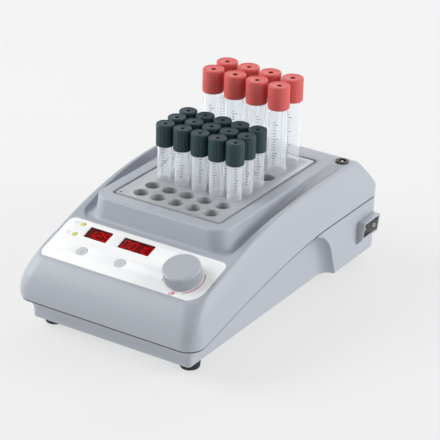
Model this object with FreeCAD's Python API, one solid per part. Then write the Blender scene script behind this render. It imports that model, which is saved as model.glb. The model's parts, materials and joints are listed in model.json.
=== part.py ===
import FreeCAD, Part
import math
import os

V = FreeCAD.Vector

# Overall body, in millimetres. X = 0 is the body's mid-plane while modelling,
# Y = 0 its mid-length, Z = 0 the bench.
WIDTH = 174.0
LENGTH = 292.5
DECK_Z = 96.6
BASE_Z = 8.0
WALL = 2.5
FRONT = -LENGTH / 2
REAR = LENGTH / 2
FRONT_CORNER_R = 14.0
REAR_CORNER_R = 12.0

# Split line between the top cover and the base shell
SEAM_GAP = 0.3
SEAM_FRONT_Z = 27.7
SEAM_REAR_Z = 57.4
SEAM_START = FRONT + 17.0
SEAM_END = FRONT + 197.0
SEAM_POWER = 1.45

# Lean of the cover's walls above the split line
SIDE_LEAN = 8.0
FRONT_LEAN = 15.0
WIDEST_AT = 0.2
SHOULDER_FILLET = 3.0
SIDE_SHARES = (0.0, 0.12, 0.25, 0.4, 0.55, 0.7, 0.85, 1.0)

# Sloping control panel
PANEL_SETBACK = 17.6
PANEL_Z = 61.3
PANEL_TILT = 18.0
PANEL_HALF_WIDTH = 75.5
PANEL_DEPTH = 50.5
PANEL_FRONT_R = 13.0
PANEL_BACK_R = 5.0
OVERLAY_THICK = 0.7
OVERLAY_PROUD = 0.2

# Shoulders that rise from the panel to the deck
SHOULDER_START = FRONT + 66.0
SHOULDER_END = FRONT + 192.0
DECK_REAR = REAR - 30.5
BACK_KNEE_Z = 62.0
BACK_KNEE_SETBACK = 2.0

# Valley between the raised frame and the shoulders
VALLEY_START = FRONT + 67.5
VALLEY_END = FRONT + 243.0
VALLEY_START_Z = 76.6
VALLEY_HALF_WIDTH = 71.0
VALLEY_DRAFT = 0.25

# Raised frame round the heating block
FRAME_HALF_WIDTH = 63.5
FRAME_START = FRONT + 74.5
FRAME_END = FRONT + 256.0
FRAME_R = 15.0
FRAME_FLARE = 6.0
FRAME_FRONT_FLARE = 3.0
FRAME_FILLET = 3.0

# Heating block and its holes
BLOCK_WIDTH = 100.8
BLOCK_DEPTH = 150.0
BLOCK_HEIGHT = 42.0
BLOCK_SETBACK = 89.5
BLOCK_CORNER_R = 2.0
BLOCK_CHAMFER = 0.6
BLOCK_GAP = 1.8
SMALL_PITCH = 17.0
SMALL_COLUMNS = 5
SMALL_ROWS = 6
SMALL_HOLE_D = 13.2
FIRST_ROW_INSET = 11.8
LARGE_PITCH = 21.5
LARGE_COLUMNS = 4
LARGE_HOLE_D = 16.8
LARGE_ROW_INSET = 14.0
HOLE_DEPTH = 32.0
HOLES_X = 1.5
PROBE_HOLE_D = 2.6
PROBE_HOLE_INSET = 3.4

# Surround rim round the block opening
RIM_WIDTH = 3.0
RIM_THICK = 1.2
RIM_FIT = 0.15

# Tubes: outer diameter, total glass length, wall, and cap
SMALL_TUBE_D = 12.6
SMALL_TUBE_LENGTH = 75.0
LARGE_TUBE_D = 16.0
LARGE_TUBE_LENGTH = 100.0
TUBE_WALL = 1.1
TUBE_SEAT = 0.3
SMALL_CAP_HEIGHT = 19.5
SMALL_CAP_D = 15.4
SMALL_CAP_RISE = 6.7
LARGE_CAP_HEIGHT = 20.5
LARGE_CAP_D = 18.4
LARGE_CAP_RISE = 8.5
CAP_DIMPLE_D = 5.5
CAP_DIMPLE_DEPTH = 2.4
CAP_DISH = 0.8
CAP_EDGE = 1.2
SMALL_TUBE_ROWS = (3, 4, 5)
LARGE_TUBE_ROWS = (1, 2)

# Heating well, heater and sensors
WELL_WALL = 1.0
WELL_FIT = 0.3
WELL_FLOOR = 5.0
WELL_TOP_DROP = 3.0
HEATER_THICK = 1.6
HEATER_R = 4.0
HEATER_HALF_WIDTH = 36.0
HEATER_INSET_FRONT = 30.0
HEATER_INSET_REAR = 14.0
PAD_THICK = 8.0
SENSOR_X = -20.0
CUTOUT_X = 20.0
SENSOR_INSET = 15.0
CUTOUT_D = 16.0
CUTOUT_HEIGHT = 7.0
CUTOUT_TAB_X = 4.5
TAB_THICK = 0.8
TAB_WIDTH = 4.8
TAB_LENGTH = 6.0
SENSOR_D = 5.0
SENSOR_BITE = 3.0
SENSOR_LENGTH = 12.0
WELL_SCREW_BITE = 4.0
STANDOFF_D = 8.0
STANDOFF_X = 43.0
STANDOFF_INSET = 12.0
FLOOR_SKIN = 1.0
SCREW_D = 3.0
SCREW_HEAD_D = 5.6
SCREW_HEAD_H = 2.2
SCREW_SLOT = 0.8
HEAD_FIT = 0.3
BOARD_SCREW_D = 2.0
BOARD_SCREW_HEAD = (4.0, 1.5)
BOARD_SCREW_LENGTH = 7.0
MAIN_SCREW_D = 2.5
MAIN_SCREW_HEAD = (4.6, 1.6)
MAIN_SCREW_LENGTH = 6.5

# Controls on the panel, in panel coordinates
LED_X = -60.8
LED_V = (33.0, 45.7)
LED_D = 4.0
LED_FLANGE_D = 5.0
LED_FIT = 0.25
LED_PROUD = 1.0
WINDOW_V = 33.0
WINDOW_DEPTH = 12.4
TEMP_WINDOW_X = -53.0
TEMP_WINDOW_WIDTH = 22.0
TIME_WINDOW_X = -19.5
TIME_WINDOW_WIDTH = 29.8
WINDOW_R = 1.2
WINDOW_THICK = 1.6
WINDOW_RECESS = 0.9
WINDOW_FIT = 0.1
DISPLAY_FIT = 0.2
KEY_X = (-43.3, -6.1)
KEY_V = 17.6
KEY_D = 9.3
KEY_FIT = 0.3
KEY_TRAVEL = 0.5
KEY_STEM_D = 3.0
KEY_THICK = 0.9
KEY_SWITCH_SIZE = 6.0
KEY_SWITCH_HEIGHT = 3.5
KEY_BUTTON_D = 3.4
KEY_BUTTON_TOP = 4.2
KNOB_X = 51.4
KNOB_V = 22.4
KNOB_D = 31.0
KNOB_HEIGHT = 11.0
KNOB_CLEAR = 1.4
KNOB_RIDGES = 72
KNOB_RIDGE_DEPTH = 0.45
KNOB_TOP_FILLET = 1.2
KNOB_WALL = 3.0
KNOB_HUB_D = 11.0
KNOB_HUB_GAP = 0.4
SHAFT_TOP_DROP = 2.2
SHAFT_D = 6.0
SHAFT_FLAT = 1.5
SHAFT_FIT = 0.05
BOARD_THICK = 1.6
BOARD_R = 2.0
BOARD_DROP = 12.0
ENCODER_SIZE = 12.5
ENCODER_HEIGHT = 6.5
BUSH_D = 7.0
BUSH_LENGTH = 4.6
ROTOR_D = 8.6
ROTOR_HEIGHT = 2.2
ROTOR_LIFT = 1.3
ROTOR_FIT = 0.15

# Base shell
COVE_INSET = 10.0
COVE_HEIGHT = 12.0
ARCH_POINTS = ((222.0, 0.0), (219.4, 8.3), (213.8, 24.4), (206.0, 42.3), (194.0, 52.5), (176.0, 60.0))
ARCH_BLEND = 12.0
ARCH_CROSSING = 0.4
ARCH_ANGLES = (0, 22.5, 45, 67.5, 90)
BOTTOM_FILLET = 2.5
VENT_WIDTH = 3.0
VENT_LENGTH = 34.0
VENT_CORNER_R = 1.4
VENT_COUNT = 9
VENT_PITCH = 7.0
VENT_Y = FRONT + 110.0

# Feet
FOOT_D = 17.0
FOOT_X = 66.0
FOOT_SETBACK = 27.5
REAR_FOOT_SETBACK = 36.0
FOOT_RECESS = 0.8
FOOT_FIT = 0.2
FOOT_SCREW_D = 4.0
FOOT_SCREW_HEAD = (6.8, 2.6)
FOOT_SCREW_Z = 1.4
FOOT_POCKET_D = 7.6
FOOT_BOSS_D = 9.0
FOOT_BOSS_HEIGHT = 8.0

# Case screws and their bosses
CASE_SCREW_FRONT = (69.0, FRONT + 50.0)
CASE_SCREW_REAR = (60.0, REAR - 12.0)
CASE_SCREW_SUNK = 1.0
CASE_SCREW_BITE = 8.0
BOSS_D = 8.0
BOSS_JOIN_Z = 36.0
REAR_BOSS_JOIN_Z = 50.0

# Switch on the right side
GUARD_PROUD = 7.0
GUARD_Y = FRONT + 268.5
GUARD_LENGTH = 27.5
GUARD_TOP_Z = 43.4
GUARD_BOTTOM_Z = 21.5
GUARD_FACE_HEIGHT = 16.6
GUARD_FACE_SLOPE = 2.0
GUARD_RIM = 1.6
SWITCH_DEPTH = 16.5
SWITCH_FIT = 0.2
SWITCH_WALL = 1.1
SWITCH_RECESS = 2.2
SWITCH_TAB_Y = 6.0
ROCKER_FIT = 0.3
ROCKER_END_ROOM = 0.95
ROCKER_TILT = 9.0
ROCKER_PIVOT_D = 2.0
ROCKER_PIVOT_FIT = 0.05
ROCKER_PIVOT_DEPTH = 4.0
ROCKER_CAVITY_DEPTH = 6.8
ROCKER_RISE = 4.6
ROCKER_DIP = 1.0
ROCKER_END_THICK = 2.4
ROCKER_ROOT = 2.5
ROCKER_ROOT_DEPTH = 1.8

# Mains inlet at the back
INLET_X = 34.0
INLET_Z = 33.0
INLET_FLANGE = (50.0, 30.0)
INLET_FLANGE_THICK = 2.4
INLET_FLANGE_R = 3.0
INLET_BODY = (30.0, 28.0)
INLET_FIT = 0.2
INLET_DEPTH = 26.0
INLET_SOCKET = (24.0, 16.4)
INLET_SOCKET_DEPTH = 16.0
INLET_SOCKET_R = 2.0
INLET_SOCKET_Z = 3.8
PIN_SIZE = (2.0, 4.0)
PIN_SPREAD = 7.0
PIN_Z = (2.7, -1.3)
PIN_LENGTH = 10.0
DRAWER_SIZE = (24.6, 7.2)
DRAWER_DEPTH = 18.0
DRAWER_Z = -9.2
DRAWER_FIT = 0.3
DRAWER_LIP = 1.2
FUSE_D = 5.0
FUSE_LENGTH = 20.0
FUSE_INSET = 1.2
GRIP_D = 3.0
GRIP_LENGTH = 12.0
INLET_SCREW_PITCH = 40.0
INLET_SCREW_BITE = 6.0

# Sensor socket on the rear deck
SOCKET_X = 70.0
SOCKET_Y = FRONT + 252.0
SOCKET_D = 11.5
SOCKET_BODY_D = 9.0
SOCKET_BODY_FIT = 0.1
SOCKET_RISE = 1.2
SOCKET_DISH_D = 6.4
SOCKET_DISH = 1.6
SOCKET_DEPTH = 9.0
CONTACT_D = 2.2

# Main board
MAIN_BOARD = (96.0, 74.0)
MAIN_BOARD_Y = FRONT + 150.0
MAIN_BOARD_Z = 18.0
BOARD_POST_D = 6.0
BOARD_HOLE_INSET = 4.5
CONTROL_BOARD_HALF = 63.5
CONTROL_BOARD_V = (5.5, 48.5)
CONTROL_POSTS = ((-59.5, 9.5), (59.5, 9.5), (-25.2, 44.5), (30.0, 44.5))
CONTROL_POST_D = 5.0
HOLE_FIT = 0.1

# Parts on the main board: X range, Y range from its middle, and height
POWER_MODULE = ((-40.0, -6.0), (-26.0, -4.0), 17.0)
RELAY = ((8.0, 27.0), (-26.0, -10.0), 15.5)
HEAT_SINK = ((-32.0, 16.0), (8.0, 28.0), 16.0)
SINK_FOOT = 3.0
FIN_COUNT = 5
FIN_PITCH = 4.4
FIN_THICK = 2.0
TERMINALS = ((22.0, 38.0), (2.0, 27.0), 10.0)
TERMINAL_COUNT = 5
TERMINAL_PITCH = 5.0
TERMINAL_D = 3.2
TERMINAL_DEPTH = 4.0

# The finished part is centred with its switch guard and its inlet screws included
SHIFT = V(-GUARD_PROUD / 2, -(INLET_FLANGE_THICK + SCREW_HEAD_H) / 2, 0)

PANEL_Y = FRONT + PANEL_SETBACK
PANEL = FreeCAD.Placement(V(0, PANEL_Y, PANEL_Z), FreeCAD.Rotation(V(1, 0, 0), PANEL_TILT))
TILT = math.radians(PANEL_TILT)
BLOCK_FRONT = FRONT + BLOCK_SETBACK
BLOCK_REAR = BLOCK_FRONT + BLOCK_DEPTH
BLOCK_BOTTOM = DECK_Z - BLOCK_HEIGHT
SIDE_X = WIDTH / 2


def box(x0, x1, y0, y1, z0, z1):
    """A box between two corners."""
    return Part.makeBox(x1 - x0, y1 - y0, z1 - z0, V(x0, y0, z0))


def rod(d, x, y, z0, z1):
    """An upright cylinder."""
    return Part.makeCylinder(d / 2, z1 - z0, V(x, y, z0))


def rod_x(d, x0, x1, y, z):
    """A cylinder along X."""
    return Part.makeCylinder(d / 2, x1 - x0, V(x0, y, z), V(1, 0, 0))


def rod_y(d, x, y0, y1, z):
    """A cylinder along Y."""
    return Part.makeCylinder(d / 2, y1 - y0, V(x, y0, z), V(0, 1, 0))


def fuse_all(shapes):
    """One shape from several that touch or overlap."""
    first, rest = shapes[0], shapes[1:]
    return first.multiFuse(rest).removeSplitter() if rest else first


def group(shapes):
    """Separate solids kept in one node."""
    return Part.makeCompound(shapes)


def rounded_outline(x0, x1, y0, y1, radii, z=0.0):
    """A closed outline with a radius at each corner: front left, front right, back right, back left."""
    fl, fr, br, bl = radii
    corners = [
        (V(x0 + fl, y0 + fl, z), fl, 180), (V(x1 - fr, y0 + fr, z), fr, 270),
        (V(x1 - br, y1 - br, z), br, 0), (V(x0 + bl, y1 - bl, z), bl, 90),
    ]
    edges = []
    ends = []
    for centre, r, start in corners:
        pts = [
            centre + V(r * math.cos(math.radians(start + a)), r * math.sin(math.radians(start + a)), 0)
            for a in (0, 45, 90)
        ]
        ends.append((pts[0], pts[2]))
        edges.append(Part.Arc(*pts).toShape())
    for i in range(4):
        a, b = ends[i][1], ends[(i + 1) % 4][0]
        edges.append(Part.LineSegment(a, b).toShape())
    return Part.Wire(Part.__sortEdges__(edges))


def rounded_plate(x0, x1, y0, y1, z0, z1, radii):
    """A flat plate with rounded corners."""
    if not isinstance(radii, tuple):
        radii = (radii,) * 4
    face = Part.Face(rounded_outline(x0, x1, y0, y1, radii, z0))
    return face.extrude(V(0, 0, z1 - z0))


def on_panel(shape):
    """Moves a shape from panel coordinates (Z = 0 on the panel's face) to the body."""
    placed = shape.copy()
    placed.Placement = PANEL.multiply(placed.Placement)
    return placed


def mirrored_x(shape):
    """The same shape on the other side of the body's mid-plane."""
    return shape.mirror(V(0, 0, 0), V(1, 0, 0))


def seam_z(y):
    """Height of the split line, which climbs from the front and levels out at the back."""
    t = min(max((y - SEAM_START) / (SEAM_END - SEAM_START), 0.0), 1.0)
    return SEAM_FRONT_Z + (SEAM_REAR_Z - SEAM_FRONT_Z) * (1.0 - (1.0 - t) ** SEAM_POWER)


def ridge_z(y):
    """Height of the shoulders: the panel's slope first, then a curve that levels at the deck."""
    start_z = PANEL_Z + (SHOULDER_START - PANEL_Y) * math.tan(TILT)
    if y <= SHOULDER_START:
        return PANEL_Z + (y - PANEL_Y) * math.tan(TILT)
    run = SHOULDER_END - SHOULDER_START
    power = math.tan(TILT) * run / (DECK_Z - start_z)
    t = min((y - SHOULDER_START) / run, 1.0)
    return start_z + (DECK_Z - start_z) * (1.0 - (1.0 - t) ** power)


def lean(y, z):
    """Share of the wall's lean at a height: none where it is widest, one at the shoulder."""
    h = (z - seam_z(y)) / (ridge_z(y) - seam_z(y))
    reach = 1.0 - WIDEST_AT
    if h <= 1.0:
        return ((h - WIDEST_AT) / reach) ** 2
    return 1.0 + 2.0 * (h - 1.0) / reach


def arc(centre, r, start):
    """A quarter circle in plan, anticlockwise from an angle in degrees."""
    turns = (math.radians(start + a) for a in (0, 45, 90))
    return Part.Arc(*[centre + V(r * math.cos(t), r * math.sin(t), 0) for t in turns])


def spline(points):
    """A smooth curve through points."""
    curve = Part.BSplineCurve()
    curve.interpolate(points)
    return curve


def wall_section(z, inset):
    """The cover's outline at one height: straight front and back, round corners, curved sides."""
    front = FRONT + FRONT_LEAN * lean(FRONT + FRONT_LEAN, z) + inset
    rear = REAR - inset
    r_front = FRONT_CORNER_R - inset
    r_rear = REAR_CORNER_R - inset
    y_start = front + r_front
    y_end = rear - r_rear
    sides = [y_start + (y_end - y_start) * share for share in SIDE_SHARES]
    right = [V(SIDE_X - SIDE_LEAN * lean(y, z) - inset, y, z) for y in sides]
    left = [V(-p.x, p.y, z) for p in reversed(right)]
    x_front = right[0].x - r_front
    x_rear = right[-1].x - r_rear
    curves = [
        Part.LineSegment(V(-x_front, front, z), V(x_front, front, z)),
        arc(V(x_front, y_start, z), r_front, 270),
        spline(right),
        arc(V(x_rear, y_end, z), r_rear, 0),
        Part.LineSegment(V(x_rear, rear, z), V(-x_rear, rear, z)),
        arc(V(-x_rear, y_end, z), r_rear, 90),
        spline(left),
        arc(V(-x_front, y_start, z), r_front, 180),
    ]
    return Part.Wire([c.toShape() for c in curves])


def wall_loft(inset):
    """Solid inside the cover's leaning walls, taller than the cover."""
    levels = [SEAM_FRONT_Z - 12.0 + 12.0 * i for i in range(8)]
    return Part.makeLoft([wall_section(z, inset) for z in levels], True, False)


def curve_yz(function, y0, y1, count, dz=0.0):
    """A smooth edge z = function(y) in the mid-plane."""
    pts = [V(0, y0 + (y1 - y0) * i / (count - 1), 0) for i in range(count)]
    pts = [V(0, p.y, function(p.y) + dz) for p in pts]
    curve = Part.BSplineCurve()
    curve.interpolate(pts)
    return curve.toShape(), pts[0], pts[-1]


def closed_yz(parts, half_width):
    """A slab across the body whose outline in the Y-Z plane is a chain of edges and points."""
    edges = []
    last = None
    first = None
    for item in parts:
        if isinstance(item, tuple):
            edge, start, end = item
            if last is not None and last.distanceToPoint(start) > 1e-7:
                edges.append(Part.LineSegment(last, start).toShape())
            edges.append(edge)
            first = first or start
            last = end
        else:
            if last is not None:
                edges.append(Part.LineSegment(last, item).toShape())
            first = first or item
            last = item
    edges.append(Part.LineSegment(last, first).toShape())
    face = Part.Face(Part.Wire(Part.__sortEdges__(edges)))
    slab = face.extrude(V(2 * half_width, 0, 0))
    slab.translate(V(-half_width, 0, 0))
    return slab


def upper_profile(drop, seam_rise):
    """Slab from the split line up to the top line, which drop lowers by a wall's thickness."""
    front_y = FRONT - 20.0
    rear_y = REAR + 20.0
    knee_y = REAR - BACK_KNEE_SETBACK
    back_slope = (DECK_Z - BACK_KNEE_Z) / (knee_y - DECK_REAR)
    top = curve_yz(ridge_z, SHOULDER_START, SHOULDER_END, 9, -drop)
    back_y = DECK_REAR - drop / 2
    return closed_yz([
        V(0, front_y, SEAM_FRONT_Z + seam_rise),
        curve_yz(seam_z, SEAM_START, SEAM_END, 9, seam_rise),
        V(0, rear_y, SEAM_REAR_Z + seam_rise),
        V(0, rear_y, BACK_KNEE_Z),
        V(0, knee_y - drop / 2, BACK_KNEE_Z - drop),
        V(0, back_y, DECK_Z - drop),
        (top[0], top[2], top[1]),
        V(0, front_y, ridge_z(front_y) - drop),
    ], WIDTH)


def lower_profile(seam_drop, floor_z):
    """Slab from a floor up to the split line."""
    return closed_yz([
        V(0, FRONT - 20.0, SEAM_FRONT_Z - seam_drop),
        curve_yz(seam_z, SEAM_START, SEAM_END, 9, -seam_drop),
        V(0, REAR + 20.0, SEAM_REAR_Z - seam_drop),
        V(0, REAR + 20.0, floor_z),
        V(0, FRONT - 20.0, floor_z),
    ], WIDTH)


def frame_loft(inset):
    """The raised frame's body: steep at the front, flared into the valley at the sides."""
    base_z = VALLEY_START_Z - 6.0
    wires = []
    for i in range(5):
        share = i / 4
        z = base_z + (DECK_Z - base_z) * share
        spread = (1.0 - share) ** 2
        half = FRAME_HALF_WIDTH + FRAME_FLARE * spread - inset
        start = FRAME_START - FRAME_FRONT_FLARE * spread + inset
        r = FRAME_R - inset
        wires.append(rounded_outline(-half, half, start, FRAME_END - inset, (r,) * 4, z))
    return Part.makeLoft(wires, True, False)


def frame_solid():
    """The raised frame with its rounded top edge."""
    solid = frame_loft(0.0)
    rim = [
        e for e in solid.Edges
        if min(v.Z for v in e.Vertexes) > DECK_Z - 0.01 and e.CenterOfMass.y < FRAME_END - FRAME_R
    ]
    return solid.makeFillet(FRAME_FILLET, rim)


def valley(grow):
    """What is cut away between the frame and the shoulders; grow widens it by a wall's thickness."""
    wires = []
    low_z = VALLEY_START_Z - 8.0
    for z in (low_z, DECK_Z + 10.0):
        half = VALLEY_HALF_WIDTH + grow + (z - VALLEY_START_Z) * VALLEY_DRAFT
        start = VALLEY_START - grow - (z - VALLEY_START_Z) * VALLEY_DRAFT
        r = FRAME_R
        wires.append(rounded_outline(-half, half, start, VALLEY_END + 40.0, (r,) * 4, z))
    walls = Part.makeLoft(wires, True, True)
    rise = (DECK_Z - VALLEY_START_Z) / (VALLEY_END - VALLEY_START)
    floor_front = VALLEY_START - 30.0
    floor_rear = VALLEY_END + 60.0
    above = closed_yz([
        V(0, floor_front, VALLEY_START_Z - 30.0 * rise - grow),
        V(0, floor_rear, DECK_Z + 60.0 * rise - grow),
        V(0, floor_rear, DECK_Z + 40.0),
        V(0, floor_front, DECK_Z + 40.0),
    ], WIDTH)
    return walls.common(above)


def boss_places():
    """Middles of the four case screws, with the height where their bosses meet."""
    return [
        (side * x, y, z)
        for (x, y), z in ((CASE_SCREW_FRONT, BOSS_JOIN_Z), (CASE_SCREW_REAR, REAR_BOSS_JOIN_Z))
        for side in (-1, 1)
    ]


def block_opening(grow, z0, z1):
    """The block's opening in plan, grown all round."""
    half = BLOCK_WIDTH / 2 + BLOCK_GAP + grow
    return rounded_plate(
        -half, half, BLOCK_FRONT - BLOCK_GAP - grow, BLOCK_REAR + BLOCK_GAP + grow,
        z0, z1, BLOCK_CORNER_R + BLOCK_GAP + grow,
    )


def is_shoulder_edge(edge):
    """True for an edge where the leaning walls meet the panel, the shoulders, the deck or the back slope."""
    bounds = edge.BoundBox
    if bounds.ZMax < BACK_KNEE_Z + 1:
        return False
    on_side = bounds.XMax - bounds.XMin < SIDE_LEAN + 1 and abs(bounds.XMin) > PANEL_HALF_WIDTH - 6
    side = on_side and bounds.ZMin > BACK_KNEE_Z - 1
    front = bounds.YMin < PANEL_Y and bounds.ZMin > PANEL_Z - 8
    deck_end = abs(bounds.YMin - DECK_REAR) < 1 and bounds.YMax - bounds.YMin < 1
    return side or front or deck_end


def panel_recess(depth, grow):
    """The overlay's outline on the panel, as a plate that reaches depth below the face."""
    return on_panel(rounded_plate(
        -PANEL_HALF_WIDTH - grow, PANEL_HALF_WIDTH + grow, -grow, PANEL_DEPTH + grow, -depth, 20.0,
        (PANEL_FRONT_R + grow, PANEL_FRONT_R + grow, PANEL_BACK_R + grow, PANEL_BACK_R + grow)))


def windows():
    """Left edge and width of each display window."""
    return ((TEMP_WINDOW_X, TEMP_WINDOW_WIDTH), (TIME_WINDOW_X, TIME_WINDOW_WIDTH))


def window_plate(x, width, z0, z1, grow):
    """A plate of a display window's outline, in panel coordinates."""
    return rounded_plate(
        x - grow, x + width + grow, WINDOW_V - grow, WINDOW_V + WINDOW_DEPTH + grow,
        z0, z1, WINDOW_R + max(grow, 0.0))


def panel_holes(z0, z1, key_hole):
    """Everything that passes through the panel: windows, lamps, keys and the encoder's bush."""
    cuts = [window_plate(x, w, z0, z1, WINDOW_FIT) for x, w in windows()]
    cuts += [rod(LED_D + 2 * LED_FIT, LED_X, v, z0, z1) for v in LED_V]
    cuts += [rod(key_hole, x, KEY_V, z0, z1) for x in KEY_X]
    cuts.append(rod(BUSH_D + 2 * LED_FIT, KNOB_X, KNOB_V, z0, z1))
    return on_panel(group(cuts))


def top_cover():
    """Moulded cover: leaning walls, sloping panel, shoulders, valley, raised frame and deck."""
    outer = wall_loft(0.0).common(upper_profile(0.0, SEAM_GAP / 2))
    outer = outer.makeFillet(SHOULDER_FILLET, [e for e in outer.Edges if is_shoulder_edge(e)])
    outer = outer.cut(valley(0.0)).fuse(frame_solid())
    inner = wall_loft(WALL).common(upper_profile(WALL, SEAM_GAP / 2 - SEAM_FRONT_Z))
    below_deck = box(-WIDTH, WIDTH, FRONT, REAR, 0, DECK_Z - WALL)
    hollow = inner.cut(valley(WALL)).fuse(frame_loft(WALL).common(below_deck))
    shell = outer.cut(hollow)
    bosses = [rod(BOSS_D, x, y, z, DECK_Z + 20).common(outer) for x, y, z in boss_places()]
    posts = [
        on_panel(rod(CONTROL_POST_D, x, v, BOARD_THICK - BOARD_DROP, -WALL / 2)) for x, v in CONTROL_POSTS
    ]
    shell = shell.multiFuse(bosses + posts)
    key_pocket = OVERLAY_THICK + KEY_TRAVEL + KEY_FIT
    cuts = [
        block_opening(0.0, 0.0, DECK_Z + 10),
        block_opening(RIM_WIDTH - BLOCK_GAP + RIM_FIT, DECK_Z - RIM_THICK, DECK_Z + 10),
        panel_recess(OVERLAY_THICK - OVERLAY_PROUD, WINDOW_FIT),
        panel_holes(-4 * WALL, WALL, KEY_STEM_D + 2 * KEY_FIT),
        rod(SOCKET_BODY_D + 2 * SOCKET_BODY_FIT, SOCKET_X, SOCKET_Y, DECK_Z - 20, DECK_Z + 10),
    ]
    cuts += [on_panel(rod(KEY_D + 2 * KEY_FIT, x, KEY_V, -key_pocket, 1.0)) for x in KEY_X]
    cuts += [rod(SCREW_D + HOLE_FIT, x, y, z - 1, z + CASE_SCREW_BITE + 2) for x, y, z in boss_places()]
    cuts += [
        on_panel(rod(BOARD_SCREW_D + HOLE_FIT, x, v, BOARD_THICK - BOARD_DROP - 1, -WALL - 1))
        for x, v in CONTROL_POSTS
    ]
    return shell.cut(cuts)


def seam_plate(inset, z0, z1):
    """The plan outline at the split line, as an upright prism."""
    share = (WIDEST_AT / (1.0 - WIDEST_AT)) ** 2
    half = SIDE_X - SIDE_LEAN * share - inset
    radii = (FRONT_CORNER_R - inset,) * 2 + (REAR_CORNER_R - inset,) * 2
    return rounded_plate(-half, half, FRONT + FRONT_LEAN * share + inset, REAR - inset, z0, z1, radii)


def cove_wire(place, grow):
    """Outline of what the undercut takes away; place puts an inset and a drop into space."""
    steps = 4
    curve_pts = []
    for i in range(steps + 1):
        t = i / steps
        curve_pts.append(place(COVE_INSET * (1.0 - (1.0 - t) ** 2) + grow, COVE_HEIGHT * t - grow))
    curve = Part.BSplineCurve()
    curve.interpolate(curve_pts)
    outside = -8.0
    deep = SEAM_REAR_Z + 20.0
    corners = [
        place(COVE_INSET + grow, deep), place(outside, deep), place(outside, -grow), place(grow, -grow),
    ]
    edges = [curve.toShape()]
    last = curve_pts[-1]
    for p in corners:
        edges.append(Part.LineSegment(last, p).toShape())
        last = p
    return Part.Wire(edges)


def arch_tail(half, grow):
    """What the cove leaves standing behind an arch, which it meets in a quarter ellipse."""
    inset = COVE_INSET + ARCH_CROSSING + grow
    wires = []
    for setback, z in ARCH_POINTS:
        outer_y = FRONT + setback + grow
        inner_y = outer_y - ARCH_BLEND
        bend = [
            V(half - inset * math.cos(t), inner_y + ARCH_BLEND * math.sin(t), z)
            for t in (math.radians(a) for a in ARCH_ANGLES)
        ]
        corners = [V(half + inset, outer_y, z), V(half + inset, REAR + inset, z),
                   V(half - 2 * inset, REAR + inset, z), V(half - 2 * inset, inner_y, z)]
        edges = [spline(bend).toShape()]
        last = bend[-1]
        for p in corners + [bend[0]]:
            edges.append(Part.LineSegment(last, p).toShape())
            last = p
        wires.append(Part.Wire(edges))
    return Part.makeLoft(wires, True, False)


def undercut(grow):
    """The cove below the split line: across the front, round the corners and back to the arches."""
    share = (WIDEST_AT / (1.0 - WIDEST_AT)) ** 2
    half = SIDE_X - SIDE_LEAN * share
    front = FRONT + FRONT_LEAN * share
    r = FRONT_CORNER_R
    y0 = front + r
    stations = [y0, SEAM_START] + [SEAM_START + 30.0 * i for i in range(1, 8)]
    side = Part.makeLoft([
        cove_wire(lambda i, d, y=y: V(half - i, y, seam_z(y) - d), grow) for y in stations
    ], True, False)
    side = side.cut(arch_tail(half, grow))
    face = Part.Face(cove_wire(lambda i, d: V(half - r, front + i, SEAM_FRONT_Z - d), grow))
    corner = face.revolve(V(half - r, y0, 0), V(0, 0, 1), 90)
    across = face.extrude(V(-2 * (half - r), 0, 0))
    return [across, corner, mirrored_x(corner), side, mirrored_x(side)]


def guard_solid():
    """The hood that stands out round the power switch, narrower at its foot."""
    wall_x = SIDE_X - SIDE_LEAN * (WIDEST_AT / (1.0 - WIDEST_AT)) ** 2
    face_x = SIDE_X + GUARD_PROUD
    outline = [
        V(wall_x - WALL / 2, 0, GUARD_BOTTOM_Z), V(wall_x, 0, GUARD_BOTTOM_Z),
        V(face_x - GUARD_FACE_SLOPE, 0, GUARD_TOP_Z - GUARD_FACE_HEIGHT), V(face_x, 0, GUARD_TOP_Z),
        V(wall_x - WALL / 2, 0, GUARD_TOP_Z), V(wall_x - WALL / 2, 0, GUARD_BOTTOM_Z),
    ]
    hood = Part.Face(Part.makePolygon(outline)).extrude(V(0, GUARD_LENGTH, 0))
    hood.translate(V(0, GUARD_Y - GUARD_LENGTH / 2, 0))
    return hood


def switch_window():
    """Half length, middle height and half height of the switch's opening."""
    half_length = GUARD_LENGTH / 2 - GUARD_RIM
    half_height = GUARD_FACE_HEIGHT / 2 - GUARD_RIM
    return half_length, GUARD_TOP_Z - GUARD_FACE_HEIGHT / 2, half_height


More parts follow.
